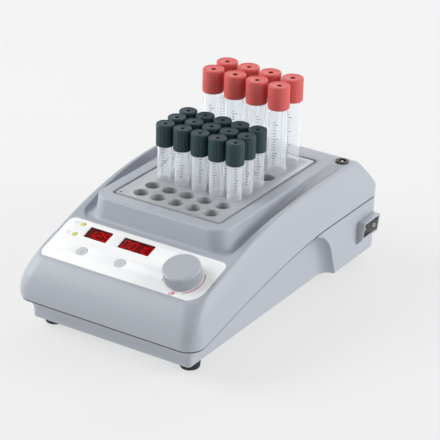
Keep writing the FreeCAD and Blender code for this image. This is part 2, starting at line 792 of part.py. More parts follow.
def base_shell():
    """Moulded base: undercut front and sides, full width at the back, hood, bosses and vents."""
    body = seam_plate(0.0, BASE_Z, SEAM_REAR_Z + 20).common(lower_profile(SEAM_GAP / 2, 0.0))
    for cutter in undercut(0.0):
        body = body.cut(cutter)
    body = body.makeFillet(BOTTOM_FILLET, [e for e in body.Edges if e.BoundBox.ZMax < BASE_Z + 0.01])
    hollow = seam_plate(WALL, BASE_Z + WALL, SEAM_REAR_Z + 20)
    for cutter in undercut(WALL):
        hollow = hollow.cut(cutter)
    floor_z = BASE_Z + WALL
    shell = body.cut(hollow)
    adds = [guard_solid()]
    adds += [rod(BOSS_D, x, y, floor_z - 1, z) for x, y, z in boss_places()]
    adds += [rod(FOOT_BOSS_D, x, y, floor_z - 1, floor_z + FOOT_BOSS_HEIGHT) for x, y in foot_places()]
    adds += [rod(BOARD_POST_D, x, y, floor_z - 1, MAIN_BOARD_Z) for x, y in main_board_holes()]
    shell = shell.multiFuse(adds)
    half_length, mid_z, half_height = switch_window()
    inlet_w, inlet_h = INLET_BODY
    cuts = [
        box(SIDE_X - 12, SIDE_X + 20, GUARD_Y - half_length, GUARD_Y + half_length,
            mid_z - half_height, mid_z + half_height),
        box(INLET_X - inlet_w / 2 - INLET_FIT, INLET_X + inlet_w / 2 + INLET_FIT, REAR - 10, REAR + 10,
            INLET_Z - inlet_h / 2 - INLET_FIT, INLET_Z + inlet_h / 2 + INLET_FIT),
    ]
    cuts += [rod_y(SCREW_D + HOLE_FIT, x, REAR - 10, REAR + 10, INLET_Z) for x in inlet_screw_places()]
    for x, y, z in boss_places():
        cuts.append(rod(SCREW_D + HOLE_FIT, x, y, 0, z + 1))
        cuts.append(rod(SCREW_HEAD_D + 2 * HEAD_FIT, x, y, 0, BASE_Z + SCREW_HEAD_H + CASE_SCREW_SUNK))
    for x, y in foot_places():
        cuts.append(rod(FOOT_D + 2 * FOOT_FIT, x, y, 0, BASE_Z + FOOT_RECESS))
        cuts.append(rod(FOOT_SCREW_D + HOLE_FIT, x, y, 0, floor_z + FOOT_BOSS_HEIGHT - 1.5))
    cuts += [rod(MAIN_SCREW_D + HOLE_FIT, x, y, floor_z, MAIN_BOARD_Z + 1) for x, y in main_board_holes()]
    for x, y in standoff_places():
        cuts.append(rod(SCREW_D + HOLE_FIT, x, y, BASE_Z + FLOOR_SKIN - HEAD_FIT, floor_z + 1))
    first = -(VENT_COUNT - 1) / 2 * VENT_PITCH
    for i in range(VENT_COUNT):
        x = first + i * VENT_PITCH
        cuts.append(rounded_plate(x - VENT_WIDTH / 2, x + VENT_WIDTH / 2, VENT_Y - VENT_LENGTH / 2,
                                  VENT_Y + VENT_LENGTH / 2, 0, floor_z + 1, VENT_CORNER_R))
    return shell.cut(cuts)


def foot_places():
    """Middles of the four feet."""
    return [
        (x, y) for y in (FRONT + FOOT_SETBACK, REAR - REAR_FOOT_SETBACK) for x in (-FOOT_X, FOOT_X)
    ]


def standoff_places():
    """Middles of the four posts under the heating well."""
    return [
        (x, y)
        for y in (BLOCK_FRONT + STANDOFF_INSET, BLOCK_REAR - STANDOFF_INSET)
        for x in (-STANDOFF_X, STANDOFF_X)
    ]


def main_board_holes():
    """Fixing holes of the main board."""
    w, d = MAIN_BOARD
    return [
        (sx * (w / 2 - BOARD_HOLE_INSET), MAIN_BOARD_Y + sy * (d / 2 - BOARD_HOLE_INSET))
        for sx in (-1, 1) for sy in (-1, 1)
    ]


def inlet_screw_places():
    """X of the two screws that hold the mains inlet."""
    return [INLET_X - INLET_SCREW_PITCH / 2, INLET_X + INLET_SCREW_PITCH / 2]


def panel_overlay():
    """The printed sheet that covers the panel."""
    sheet = on_panel(rounded_plate(
        -PANEL_HALF_WIDTH, PANEL_HALF_WIDTH, 0, PANEL_DEPTH, OVERLAY_PROUD - OVERLAY_THICK, OVERLAY_PROUD,
        (PANEL_FRONT_R, PANEL_FRONT_R, PANEL_BACK_R, PANEL_BACK_R)))
    return sheet.cut(panel_holes(-4 * WALL, WALL, KEY_D + 2 * KEY_FIT))


def window(x, width):
    """A display's window, sunk a little below the overlay."""
    return on_panel(window_plate(x, width, -WINDOW_RECESS - WINDOW_THICK, -WINDOW_RECESS, 0.0))


def display(x, width):
    """A display module between the control board and its window."""
    low = BOARD_THICK - BOARD_DROP
    high = -WINDOW_RECESS - WINDOW_THICK
    fit = DISPLAY_FIT
    return on_panel(box(x + fit, x + width - fit, WINDOW_V + fit, WINDOW_V + WINDOW_DEPTH - fit, low, high))


def status_lamps():
    """Two domed lamps that look through the overlay."""
    lamps = []
    for v in LED_V:
        r = LED_D / 2
        stem = rod(LED_D, LED_X, v, BOARD_THICK - BOARD_DROP, LED_PROUD - r * 0.6)
        dome = Part.makeSphere(r, V(LED_X, v, LED_PROUD - r))
        flange = rod(LED_FLANGE_D, LED_X, v, BOARD_THICK - BOARD_DROP, BOARD_THICK - BOARD_DROP + 1.0)
        lamps.append(on_panel(fuse_all([stem, dome, flange])))
    return group(lamps)


def control_board():
    """The board behind the panel."""
    v0, v1 = CONTROL_BOARD_V
    plate = box(-CONTROL_BOARD_HALF, CONTROL_BOARD_HALF, v0, v1, -BOARD_DROP, BOARD_THICK - BOARD_DROP)
    holes = [rod(BOARD_SCREW_D + 2 * HOLE_FIT, x, v, -20, 0) for x, v in CONTROL_POSTS]
    return on_panel(plate.cut(holes))


def key_switches():
    """The two click switches under the keys."""
    low = BOARD_THICK - BOARD_DROP
    out = []
    half = KEY_SWITCH_SIZE / 2
    for x in KEY_X:
        case = box(x - half, x + half, KEY_V - half, KEY_V + half, low, low + KEY_SWITCH_HEIGHT)
        button = rod(KEY_BUTTON_D, x, KEY_V, low + KEY_SWITCH_HEIGHT, low + KEY_BUTTON_TOP)
        out.append(on_panel(fuse_all([case, button])))
    return group(out)


def key(x):
    """A round key with the stem that reaches its switch."""
    disc = rod(KEY_D, x, KEY_V, OVERLAY_PROUD - KEY_THICK, OVERLAY_PROUD)
    stem_low = BOARD_THICK - BOARD_DROP + KEY_BUTTON_TOP + KEY_TRAVEL + HOLE_FIT
    stem = rod(KEY_STEM_D, x, KEY_V, stem_low, OVERLAY_PROUD - KEY_THICK)
    return on_panel(disc.fuse(stem).removeSplitter())


def encoder_body():
    """The rotary encoder's case and bush, hollow for its rotor and shaft."""
    low = BOARD_THICK - BOARD_DROP
    half = ENCODER_SIZE / 2
    case = box(KNOB_X - half, KNOB_X + half, KNOB_V - half, KNOB_V + half, low, low + ENCODER_HEIGHT)
    bush = rod(BUSH_D, KNOB_X, KNOB_V, low + ENCODER_HEIGHT, low + ENCODER_HEIGHT + BUSH_LENGTH)
    bore = rod(SHAFT_D + 2 * SHAFT_FIT, KNOB_X, KNOB_V, low + 0.4, 10)
    room = ROTOR_D + 4 * SHAFT_FIT
    cavity = rod(room, KNOB_X, KNOB_V, rotor_low() - ROTOR_FIT, rotor_low() + ROTOR_HEIGHT + ROTOR_FIT)
    return on_panel(case.fuse(bush).cut([bore, cavity]))


def rotor_low():
    """Height of the rotor's underside, in panel coordinates."""
    return BOARD_THICK - BOARD_DROP + ROTOR_LIFT


def shaft_section(grow, z0, z1):
    """The shaft's flatted section."""
    full = rod(SHAFT_D + 2 * grow, KNOB_X, KNOB_V, z0, z1)
    flat_y = KNOB_V + SHAFT_D / 2 - SHAFT_FLAT + grow
    return full.cut(box(KNOB_X - SHAFT_D, KNOB_X + SHAFT_D, flat_y, flat_y + SHAFT_D, z0 - 1, z1 + 1))


def encoder_rotor():
    """The ring inside the encoder that the shaft turns and slides through."""
    ring = rod(ROTOR_D, KNOB_X, KNOB_V, rotor_low(), rotor_low() + ROTOR_HEIGHT)
    return on_panel(ring.cut(shaft_section(SHAFT_FIT, rotor_low() - 1, rotor_low() + ROTOR_HEIGHT + 1)))


def knob_low():
    """Height of the knob's underside, in panel coordinates."""
    return OVERLAY_PROUD + KNOB_CLEAR


def knob_shaft():
    """The encoder's shaft, from the rotor up into the knob."""
    return on_panel(shaft_section(0.0, rotor_low() + HOLE_FIT, knob_low() + KNOB_HEIGHT - SHAFT_TOP_DROP))


def control_knob():
    """Turned knob with fine upright ridges, a rounded top edge and a hollow underside."""
    low = knob_low()
    r = KNOB_D / 2
    pts = []
    for i in range(KNOB_RIDGES):
        for share, radius in ((0.0, r), (0.4, r), (0.6, r - KNOB_RIDGE_DEPTH), (0.8, r - KNOB_RIDGE_DEPTH)):
            a = 2 * math.pi * (i + share) / KNOB_RIDGES
            pts.append(V(KNOB_X + radius * math.cos(a), KNOB_V + radius * math.sin(a), low))
    ridged = Part.Face(Part.makePolygon(pts + [pts[0]])).extrude(V(0, 0, KNOB_HEIGHT))
    turned = Part.makeCylinder(r, KNOB_HEIGHT, V(KNOB_X, KNOB_V, low))
    top = [e for e in turned.Edges if e.BoundBox.ZMin > low + KNOB_HEIGHT - 0.1]
    knob = ridged.common(turned.makeFillet(KNOB_TOP_FILLET, top))
    hollow = rod(KNOB_D - 2 * KNOB_WALL, KNOB_X, KNOB_V, low - 1, low + KNOB_HEIGHT - KNOB_WALL)
    hub = rod(KNOB_HUB_D, KNOB_X, KNOB_V, low + KNOB_HUB_GAP, low + KNOB_HEIGHT - KNOB_WALL / 2)
    bore = shaft_section(SHAFT_FIT, low - 1, low + KNOB_HEIGHT - SHAFT_TOP_DROP + HOLE_FIT)
    return on_panel(knob.cut(hollow).fuse(hub).cut(bore))


def small_hole_places(rows):
    """Middles of the small holes in the given rows, counted from the front."""
    first_x = HOLES_X - (SMALL_COLUMNS - 1) / 2 * SMALL_PITCH
    first_y = BLOCK_FRONT + FIRST_ROW_INSET
    return [
        (first_x + i * SMALL_PITCH, first_y + (row - 1) * SMALL_PITCH)
        for row in rows for i in range(SMALL_COLUMNS)
    ]


def large_hole_places(rows):
    """Middles of the large holes; row 2 is the one at the back."""
    first_x = HOLES_X - (LARGE_COLUMNS - 1) / 2 * LARGE_PITCH
    last_y = BLOCK_REAR - LARGE_ROW_INSET
    return [
        (first_x + i * LARGE_PITCH, last_y - (2 - row) * LARGE_PITCH)
        for row in rows for i in range(LARGE_COLUMNS)
    ]


def heating_block():
    """The aluminium block with its tube holes and a probe hole."""
    half = BLOCK_WIDTH / 2
    block = rounded_plate(-half, half, BLOCK_FRONT, BLOCK_REAR, BLOCK_BOTTOM, DECK_Z, BLOCK_CORNER_R)
    top = [e for e in block.Edges if e.BoundBox.ZMin > DECK_Z - 0.01]
    block = block.makeChamfer(BLOCK_CHAMFER, top)
    low = DECK_Z - HOLE_DEPTH
    rows = range(1, SMALL_ROWS + 1)
    cuts = [rod(SMALL_HOLE_D, x, y, low, DECK_Z + 1) for x, y in small_hole_places(rows)]
    cuts += [rod(LARGE_HOLE_D, x, y, low, DECK_Z + 1) for x, y in large_hole_places((1, 2))]
    cuts.append(rod(PROBE_HOLE_D, -half + PROBE_HOLE_INSET, BLOCK_FRONT + PROBE_HOLE_INSET,
                    DECK_Z - HOLE_DEPTH / 2, DECK_Z + 1))
    return block.cut(cuts)


def block_surround():
    """The thin rim that trims the block's opening."""
    outer = block_opening(RIM_WIDTH - BLOCK_GAP, DECK_Z - RIM_THICK, DECK_Z)
    return outer.cut(block_opening(0.0, DECK_Z - 10, DECK_Z + 10))


def heating_well():
    """The tray that holds the block: a thick floor and thin walls."""
    floor_low = BLOCK_BOTTOM - WELL_FLOOR
    tray = block_opening(-WELL_FIT, floor_low, DECK_Z - WELL_TOP_DROP)
    room = block_opening(-WELL_FIT - WELL_WALL, BLOCK_BOTTOM, DECK_Z + 10)
    cuts = [room]
    for x, y in standoff_places():
        cuts.append(rod(SCREW_D + HOLE_FIT, x, y, floor_low - 1, BLOCK_BOTTOM + 1))
        cuts.append(rod(SCREW_HEAD_D + HEAD_FIT, x, y, BLOCK_BOTTOM - SCREW_HEAD_H - HEAD_FIT,
                        BLOCK_BOTTOM + 1))
    cuts.append(rod(SENSOR_D + HOLE_FIT, SENSOR_X, BLOCK_FRONT + SENSOR_INSET, floor_low - 1,
                    floor_low + SENSOR_BITE))
    return tray.cut(cuts)


def well_standoffs():
    """Four posts from the base's floor to the well."""
    top = BLOCK_BOTTOM - WELL_FLOOR
    floor_z = BASE_Z + WALL
    posts = []
    for x, y in standoff_places():
        post = rod(STANDOFF_D, x, y, floor_z, top).fuse(rod(SCREW_D, x, y, BASE_Z + FLOOR_SKIN, floor_z))
        hole = rod(SCREW_D + HOLE_FIT, x, y, top - 2 * WELL_SCREW_BITE, top + 1)
        posts.append(post.removeSplitter().cut(hole))
    return group(posts)


def well_screws():
    """Screws that hold the well to its posts, sunk in its floor."""
    head_top = BLOCK_BOTTOM - HOLE_FIT
    return group([
        screw_z(x, y, head_top, SCREW_D, SCREW_HEAD_D, SCREW_HEAD_H, -(WELL_FLOOR + WELL_SCREW_BITE))
        for x, y in standoff_places()
    ])


def screw_z(x, y, head_end, d, head_d, head_h, length):
    """An upright screw; head_end is its head's outer face, and length is negative downwards."""
    sign = 1 if length > 0 else -1
    head_in = head_end + sign * head_h
    tip = head_in + length
    head = rod(head_d, x, y, min(head_end, head_in), max(head_end, head_in))
    shank = rod(d, x, y, min(head_in, tip), max(head_in, tip))
    half = SCREW_SLOT / 2
    slot_in = head_end + sign * SCREW_SLOT
    slot = box(x - head_d, x + head_d, y - half, y + half, min(head_end, slot_in), max(head_end, slot_in))
    return head.fuse(shank).removeSplitter().cut(slot)


def heater_place():
    """Corners of the heater in plan."""
    return (-HEATER_HALF_WIDTH, HEATER_HALF_WIDTH, BLOCK_FRONT + HEATER_INSET_FRONT,
            BLOCK_REAR - HEATER_INSET_REAR)


def heater_mat():
    """Flat heater stuck under the well."""
    x0, x1, y0, y1 = heater_place()
    top = BLOCK_BOTTOM - WELL_FLOOR
    return rounded_plate(x0, x1, y0, y1, top - HEATER_THICK, top, HEATER_R)


def insulation_pad():
    """Soft pad below the heater."""
    x0, x1, y0, y1 = heater_place()
    top = BLOCK_BOTTOM - WELL_FLOOR - HEATER_THICK
    return rounded_plate(x0, x1, y0, y1, top - PAD_THICK, top, HEATER_R)


def temperature_sensor():
    """Probe pressed into the well's floor."""
    top = BLOCK_BOTTOM - WELL_FLOOR + SENSOR_BITE
    return rod(SENSOR_D, SENSOR_X, BLOCK_FRONT + SENSOR_INSET, top - SENSOR_LENGTH, top)


def thermal_cutout():
    """Safety cut-out under the well: a round case with its tabs."""
    top = BLOCK_BOTTOM - WELL_FLOOR
    y = BLOCK_FRONT + SENSOR_INSET
    case = rod(CUTOUT_D, CUTOUT_X, y, top - CUTOUT_HEIGHT, top)
    half_t, half_w, reach = TAB_THICK / 2, TAB_WIDTH / 2, TAB_LENGTH
    low = top - CUTOUT_HEIGHT
    tabs = [
        box(CUTOUT_X + x - half_t, CUTOUT_X + x + half_t, y - half_w, y + half_w, low - reach, low + 0.5)
        for x in (-CUTOUT_TAB_X, CUTOUT_TAB_X)
    ]
    return fuse_all([case] + tabs)


def tube_glass(d, length, x, y):
    """A round-bottomed glass tube standing in its hole."""
    low = DECK_Z - HOLE_DEPTH + TUBE_SEAT
    outer = rod(d, x, y, low + d / 2, low + length).fuse(Part.makeSphere(d / 2, V(x, y, low + d / 2)))
    return outer.removeSplitter().cut(rod(d - 2 * TUBE_WALL, x, y, low + d / 2, low + length + 1))


def tube_cap(d, glass_length, glass_d, height, rise, x, y):
    """A push-on cap: skirt outside the glass, dished top with a dimple, rounded lower edge."""
    glass_top = DECK_Z - HOLE_DEPTH + TUBE_SEAT + glass_length
    top = glass_top + rise
    low = top - height
    r = d / 2
    dip = CAP_DISH / 2
    skirt = [
        V(0, 0, top - CAP_DIMPLE_DEPTH), V(CAP_DIMPLE_D / 2, 0, top - CAP_DIMPLE_DEPTH),
        V(CAP_DIMPLE_D / 2, 0, top - CAP_DISH), V(r - 2.2, 0, top - dip), V(r - CAP_EDGE, 0, top),
        V(r - 0.5, 0, top - dip), V(r, 0, top - 1.6), V(r, 0, low + 2.4), V(r - dip, 0, low + 0.9),
        V(r - CAP_EDGE, 0, low), V(glass_d / 2 + HOLE_FIT, 0, low),
        V(glass_d / 2 + HOLE_FIT, 0, glass_top + HOLE_FIT),
        V(0, 0, glass_top + HOLE_FIT), V(0, 0, top - CAP_DIMPLE_DEPTH),
    ]
    turned = Part.Face(Part.makePolygon(skirt)).revolve(V(0, 0, 0), V(0, 0, 1), 360)
    turned.translate(V(x, y, 0))
    return turned


def small_tubes(row):
    """Glass of one row of small tubes."""
    return group([tube_glass(SMALL_TUBE_D, SMALL_TUBE_LENGTH, x, y) for x, y in small_hole_places((row,))])


def small_caps(row):
    """Caps of one row of small tubes."""
    return group([
        tube_cap(SMALL_CAP_D, SMALL_TUBE_LENGTH, SMALL_TUBE_D, SMALL_CAP_HEIGHT, SMALL_CAP_RISE, x, y)
        for x, y in small_hole_places((row,))
    ])


def large_tubes(row):
    """Glass of one row of large tubes."""
    return group([tube_glass(LARGE_TUBE_D, LARGE_TUBE_LENGTH, x, y) for x, y in large_hole_places((row,))])


def large_caps(row):
    """Caps of one row of large tubes."""
    return group([
        tube_cap(LARGE_CAP_D, LARGE_TUBE_LENGTH, LARGE_TUBE_D, LARGE_CAP_HEIGHT, LARGE_CAP_RISE, x, y)
        for x, y in large_hole_places((row,))
    ])


def main_board():
    """The power board on its posts."""
    w, d = MAIN_BOARD
    plate = rounded_plate(-w / 2, w / 2, MAIN_BOARD_Y - d / 2, MAIN_BOARD_Y + d / 2,
                          MAIN_BOARD_Z, MAIN_BOARD_Z + BOARD_THICK, BOARD_R)
    return plate.cut([rod(MAIN_SCREW_D + 2 * HOLE_FIT, x, y, 0, 60) for x, y in main_board_holes()])


def main_board_screws():
    """Screws of the main board."""
    head_d, head_h = MAIN_SCREW_HEAD
    top = MAIN_BOARD_Z + BOARD_THICK + head_h
    return group([
        screw_z(x, y, top, MAIN_SCREW_D, head_d, head_h, -MAIN_SCREW_LENGTH) for x, y in main_board_holes()
    ])


def on_main_board(place, height=None):
    """A box of a board part's outline that stands on the main board."""
    (x0, x1), (y0, y1), full = place
    z = MAIN_BOARD_Z + BOARD_THICK
    return box(x0, x1, MAIN_BOARD_Y + y0, MAIN_BOARD_Y + y1, z, z + (height or full))


def power_module():
    """Encapsulated mains-to-low-voltage module."""
    return on_main_board(POWER_MODULE)


def relay():
    """Safety relay in series with the heater."""
    return on_main_board(RELAY)


def heat_sink():
    """Finned sink of the heater's semiconductor switch."""
    x_range, (y0, _), height = HEAT_SINK
    fins = [
        on_main_board((x_range, (y0 + i * FIN_PITCH, y0 + i * FIN_PITCH + FIN_THICK), height))
        for i in range(FIN_COUNT)
    ]
    return fuse_all([on_main_board(HEAT_SINK, SINK_FOOT)] + fins)


def terminal_block():
    """Screw terminals for the mains and heater wires."""
    (x0, x1), (y0, y1), height = TERMINALS
    top = MAIN_BOARD_Z + BOARD_THICK + height
    first = MAIN_BOARD_Y + (y0 + y1) / 2 - (TERMINAL_COUNT - 1) / 2 * TERMINAL_PITCH
    wells = [
        rod(TERMINAL_D, (x0 + x1) / 2, first + i * TERMINAL_PITCH, top - TERMINAL_DEPTH, top + 1)
        for i in range(TERMINAL_COUNT)
    ]
    return on_main_board(TERMINALS).cut(wells)


def foot(x, y):
    """A squat rubber foot with a pocket for its screw."""
    r = FOOT_D / 2
    top = BASE_Z + FOOT_RECESS
    bore = FOOT_SCREW_D / 2 + HOLE_FIT
    pocket = FOOT_POCKET_D / 2
    seat = FOOT_SCREW_Z + FOOT_SCREW_HEAD[1]
    outline = [
        V(bore, 0, seat), V(pocket, 0, seat), V(pocket, 0, 0), V(r - 1.6, 0, 0),
        V(r - 0.5, 0, 0.9), V(r, 0, 3.5), V(r, 0, top), V(bore, 0, top), V(bore, 0, seat),
    ]
    turned = Part.Face(Part.makePolygon(outline)).revolve(V(0, 0, 0), V(0, 0, 1), 360)
    turned.translate(V(x, y, 0))
    return turned


def switch_body():
    """The power switch's housing with the pin that its rocker turns on."""
    half_length, mid_z, half_height = switch_window()
    face_x = SIDE_X + GUARD_PROUD - SWITCH_RECESS
    y0, y1 = GUARD_Y - half_length + SWITCH_FIT, GUARD_Y + half_length - SWITCH_FIT
    z0, z1 = mid_z - half_height + SWITCH_FIT, mid_z + half_height - SWITCH_FIT
    case = box(face_x - SWITCH_DEPTH, face_x, y0, y1, z0, z1)
    wall = SWITCH_WALL
    room = box(face_x - ROCKER_CAVITY_DEPTH, face_x + 5, y0 + wall, y1 - wall, z0 + wall, z1 - wall)
    pin = rod(ROCKER_PIVOT_D, face_x - ROCKER_PIVOT_DEPTH, GUARD_Y, z0 + wall / 2, z1 - wall / 2)
    half_t, half_w = TAB_THICK / 2, TAB_WIDTH / 2
    back_x = face_x - SWITCH_DEPTH
    blades = [
        box(back_x - TAB_LENGTH, back_x + 1, y - half_w, y + half_w, mid_z - half_t, mid_z + half_t)
        for y in (GUARD_Y - SWITCH_TAB_Y, GUARD_Y + SWITCH_TAB_Y)
    ]
    return fuse_all([case.cut(room), pin] + blades)


def power_rocker():
    """The rocker, resting with its front end pressed in."""
    half_length, mid_z, half_height = switch_window()
    face_x = SIDE_X + GUARD_PROUD - SWITCH_RECESS
    pivot = V(face_x - ROCKER_PIVOT_DEPTH, GUARD_Y, 0)
    reach = half_length - SWITCH_FIT - SWITCH_WALL - ROCKER_END_ROOM
    half_z = half_height - SWITCH_FIT - SWITCH_WALL - ROCKER_FIT
    outline = [
        V(-ROCKER_ROOT_DEPTH, -ROCKER_ROOT, 0), V(-ROCKER_ROOT_DEPTH, ROCKER_ROOT, 0),
        V(ROCKER_RISE - ROCKER_END_THICK, reach, 0), V(ROCKER_RISE, reach, 0),
        V(ROCKER_RISE - ROCKER_DIP, 0, 0), V(ROCKER_RISE, -reach, 0),
        V(ROCKER_RISE - ROCKER_END_THICK, -reach, 0), V(-ROCKER_ROOT_DEPTH, -ROCKER_ROOT, 0),
    ]
    rocker = Part.Face(Part.makePolygon(outline)).extrude(V(0, 0, 2 * half_z))
    rocker = rocker.cut(rod(ROCKER_PIVOT_D + 2 * ROCKER_PIVOT_FIT, 0, 0, -1, 2 * half_z + 1))
    rocker.rotate(V(0, 0, 0), V(0, 0, 1), -ROCKER_TILT)
    rocker.translate(pivot + V(0, 0, mid_z - half_z))
    return rocker


def mains_inlet():
    """The mains inlet: flange, body, socket with pins, and the pocket for the fuse drawer."""
    w, h = INLET_BODY
    fw, fh = INLET_FLANGE
    sw, sh = INLET_SOCKET
    face = REAR + INLET_FLANGE_THICK
    flange = box(INLET_X - fw / 2, INLET_X + fw / 2, REAR, face, INLET_Z - fh / 2, INLET_Z + fh / 2)
    corners = [e for e in flange.Edges if e.Length < INLET_FLANGE_THICK + 0.1]
    flange = flange.makeFillet(INLET_FLANGE_R, corners)
    body = box(INLET_X - w / 2, INLET_X + w / 2, face - INLET_DEPTH, REAR + 1,
               INLET_Z - h / 2, INLET_Z + h / 2)
    socket_z = INLET_Z + INLET_SOCKET_Z
    socket = box(INLET_X - sw / 2, INLET_X + sw / 2, face - INLET_SOCKET_DEPTH, face + 1,
                 socket_z - sh / 2, socket_z + sh / 2)
    socket = socket.makeFillet(INLET_SOCKET_R, [
        e for e in socket.Edges if e.Length > INLET_SOCKET_DEPTH and e.BoundBox.YLength > INLET_SOCKET_DEPTH
        and e.BoundBox.ZLength < 0.1 and e.BoundBox.XLength < 0.1])
    dw, dh = DRAWER_SIZE
    drawer_z = INLET_Z + DRAWER_Z
    pocket = box(INLET_X - dw / 2 - DRAWER_FIT, INLET_X + dw / 2 + DRAWER_FIT,
                 face - DRAWER_DEPTH - DRAWER_FIT, face + 1,
                 drawer_z - dh / 2 - DRAWER_FIT, drawer_z + dh / 2 + DRAWER_FIT)
    shape = flange.fuse(body).cut([socket, pocket])
    pins = []
    for x, z in ((-PIN_SPREAD, PIN_Z[0]), (PIN_SPREAD, PIN_Z[0]), (0.0, PIN_Z[1])):
        pw, ph = PIN_SIZE
        base_y = face - INLET_SOCKET_DEPTH
        pins.append(box(INLET_X + x - pw / 2, INLET_X + x + pw / 2, base_y - 1, base_y + PIN_LENGTH,
                        socket_z + z - ph / 2, socket_z + z + ph / 2))
    holes = [rod_y(SCREW_D + HOLE_FIT, x, REAR - 1, face + 1, INLET_Z) for x in inlet_screw_places()]
    return shape.fuse(pins).cut(holes)


def fuse_drawer():
    """Pull-out drawer that carries the fuse."""
    dw, dh = DRAWER_SIZE
    face = REAR + INLET_FLANGE_THICK
    z = INLET_Z + DRAWER_Z
    drawer = box(INLET_X - dw / 2, INLET_X + dw / 2, face - DRAWER_DEPTH, face + DRAWER_LIP,
                 z - dh / 2, z + dh / 2)
    bed_y = face - DRAWER_DEPTH + FUSE_D / 2 + FUSE_INSET
    half_length, half = FUSE_LENGTH / 2 + DRAWER_FIT, FUSE_D / 2 + HOLE_FIT
    bed = box(INLET_X - half_length, INLET_X + half_length, bed_y - half, bed_y + half, z - half, z + dh)
    grip = rod_x(GRIP_D, INLET_X - GRIP_LENGTH / 2, INLET_X + GRIP_LENGTH / 2, face + DRAWER_LIP,
                 z - dh / 2 - 0.4)
    return drawer.cut([bed, grip])


def fuse():
    """The glass fuse in its drawer."""
    bed_y = REAR + INLET_FLANGE_THICK - DRAWER_DEPTH + FUSE_D / 2 + FUSE_INSET
    return rod_x(FUSE_D, INLET_X - FUSE_LENGTH / 2, INLET_X + FUSE_LENGTH / 2, bed_y, INLET_Z + DRAWER_Z)


def inlet_screws():
    """Screws that hold the mains inlet."""
    face = REAR + INLET_FLANGE_THICK
    return group([
        rod_y(SCREW_HEAD_D, x, face, face + SCREW_HEAD_H, INLET_Z).fuse(
            rod_y(SCREW_D, x, REAR - INLET_SCREW_BITE, face, INLET_Z)).removeSplitter()
        for x in inlet_screw_places()
    ])


def sensor_socket():
    """Round socket for an outside probe, on the rear deck."""
    flange = rod(SOCKET_D, SOCKET_X, SOCKET_Y, DECK_Z, DECK_Z + SOCKET_RISE)
    body = rod(SOCKET_BODY_D, SOCKET_X, SOCKET_Y, DECK_Z - SOCKET_DEPTH, DECK_Z + SOCKET_RISE)
    dish = rod(SOCKET_DISH_D, SOCKET_X, SOCKET_Y, DECK_Z + SOCKET_RISE - SOCKET_DISH, DECK_Z + 9)
    bore = rod(CONTACT_D + HOLE_FIT, SOCKET_X, SOCKET_Y, DECK_Z - SOCKET_DEPTH - 1, DECK_Z + 9)
    return flange.fuse(body).removeSplitter().cut([dish, bore])


def socket_contact():
    """The socket's middle contact."""
    return rod(CONTACT_D, SOCKET_X, SOCKET_Y, DECK_Z - SOCKET_DEPTH - 3, DECK_Z + SOCKET_RISE - 0.6)


def case_screws():
    """Screws from below that hold the cover to the base."""
    return group([
        screw_z(x, y, BASE_Z + CASE_SCREW_SUNK, SCREW_D, SCREW_HEAD_D, SCREW_HEAD_H,
                z + CASE_SCREW_BITE - BASE_Z - CASE_SCREW_SUNK - SCREW_HEAD_H)
        for x, y, z in boss_places()
    ])


def foot_screws():
    """Screws of the feet."""
    head_d, head_h = FOOT_SCREW_HEAD
    length = BASE_Z + FOOT_SCREW_D
    return group([
        screw_z(x, y, FOOT_SCREW_Z, FOOT_SCREW_D, head_d, head_h, length) for x, y in foot_places()
    ])


def control_board_screws():
    """Screws that hold the control board to the cover's posts."""
    low = -BOARD_DROP
    head_d, head_h = BOARD_SCREW_HEAD
    return group([
        on_panel(rod(head_d, x, v, low - head_h, low).fuse(
            rod(BOARD_SCREW_D, x, v, low, low + BOARD_SCREW_LENGTH)).removeSplitter())
        for x, v in CONTROL_POSTS
    ])


def nodes():
    """Every piece of the incubator by its name."""
    pieces = {
        "top_cover": top_cover(),
        "base_shell": base_shell(),
        "panel_overlay": panel_overlay(),
        "temp_window": window(TEMP_WINDOW_X, TEMP_WINDOW_WIDTH),
        "time_window": window(TIME_WINDOW_X, TIME_WINDOW_WIDTH),
        "temp_display": display(TEMP_WINDOW_X, TEMP_WINDOW_WIDTH),
        "time_display": display(TIME_WINDOW_X, TIME_WINDOW_WIDTH),
        "status_lamps": status_lamps(),
        "control_board": control_board(),
        "control_board_screws": control_board_screws(),
        "key_switches": key_switches(),
        "temp_key": key(KEY_X[0]),
        "time_key": key(KEY_X[1]),
        "encoder_body": encoder_body(),
        "encoder_rotor": encoder_rotor(),
        "knob_shaft": knob_shaft(),
        "control_knob": control_knob(),
        "block_surround": block_surround(),
        "heating_block": heating_block(),
        "heating_well": heating_well(),
        "well_standoffs": well_standoffs(),
        "well_screws": well_screws(),
        "heater_mat": heater_mat(),
        "insulation_pad": insulation_pad(),
        "temperature_sensor": temperature_sensor(),
        "thermal_cutout": thermal_cutout(),
        "main_board": main_board(),
        "main_board_screws": main_board_screws(),
        "power_module": power_module(),
        "relay": relay(),
        "heat_sink": heat_sink(),
        "terminal_block": terminal_block(),
        "switch_body": switch_body(),
        "power_rocker": power_rocker(),
        "mains_inlet": mains_inlet(),
        "fuse_drawer": fuse_drawer(),
        "fuse": fuse(),
        "inlet_screws": inlet_screws(),
        "sensor_socket": sensor_socket(),
        "socket_contact": socket_contact(),
        "case_screws": case_screws(),
        "feet": group([foot(x, y) for x, y in foot_places()]),
        "foot_screws": foot_screws(),
    }
    for row in SMALL_TUBE_ROWS:
        pieces[f"small_tubes_row_{row}"] = small_tubes(row)
        pieces[f"small_caps_row_{row}"] = small_caps(row)
    for row in LARGE_TUBE_ROWS:
        pieces[f"large_tubes_row_{row}"] = large_tubes(row)
        pieces[f"large_caps_row_{row}"] = large_caps(row)
    return pieces


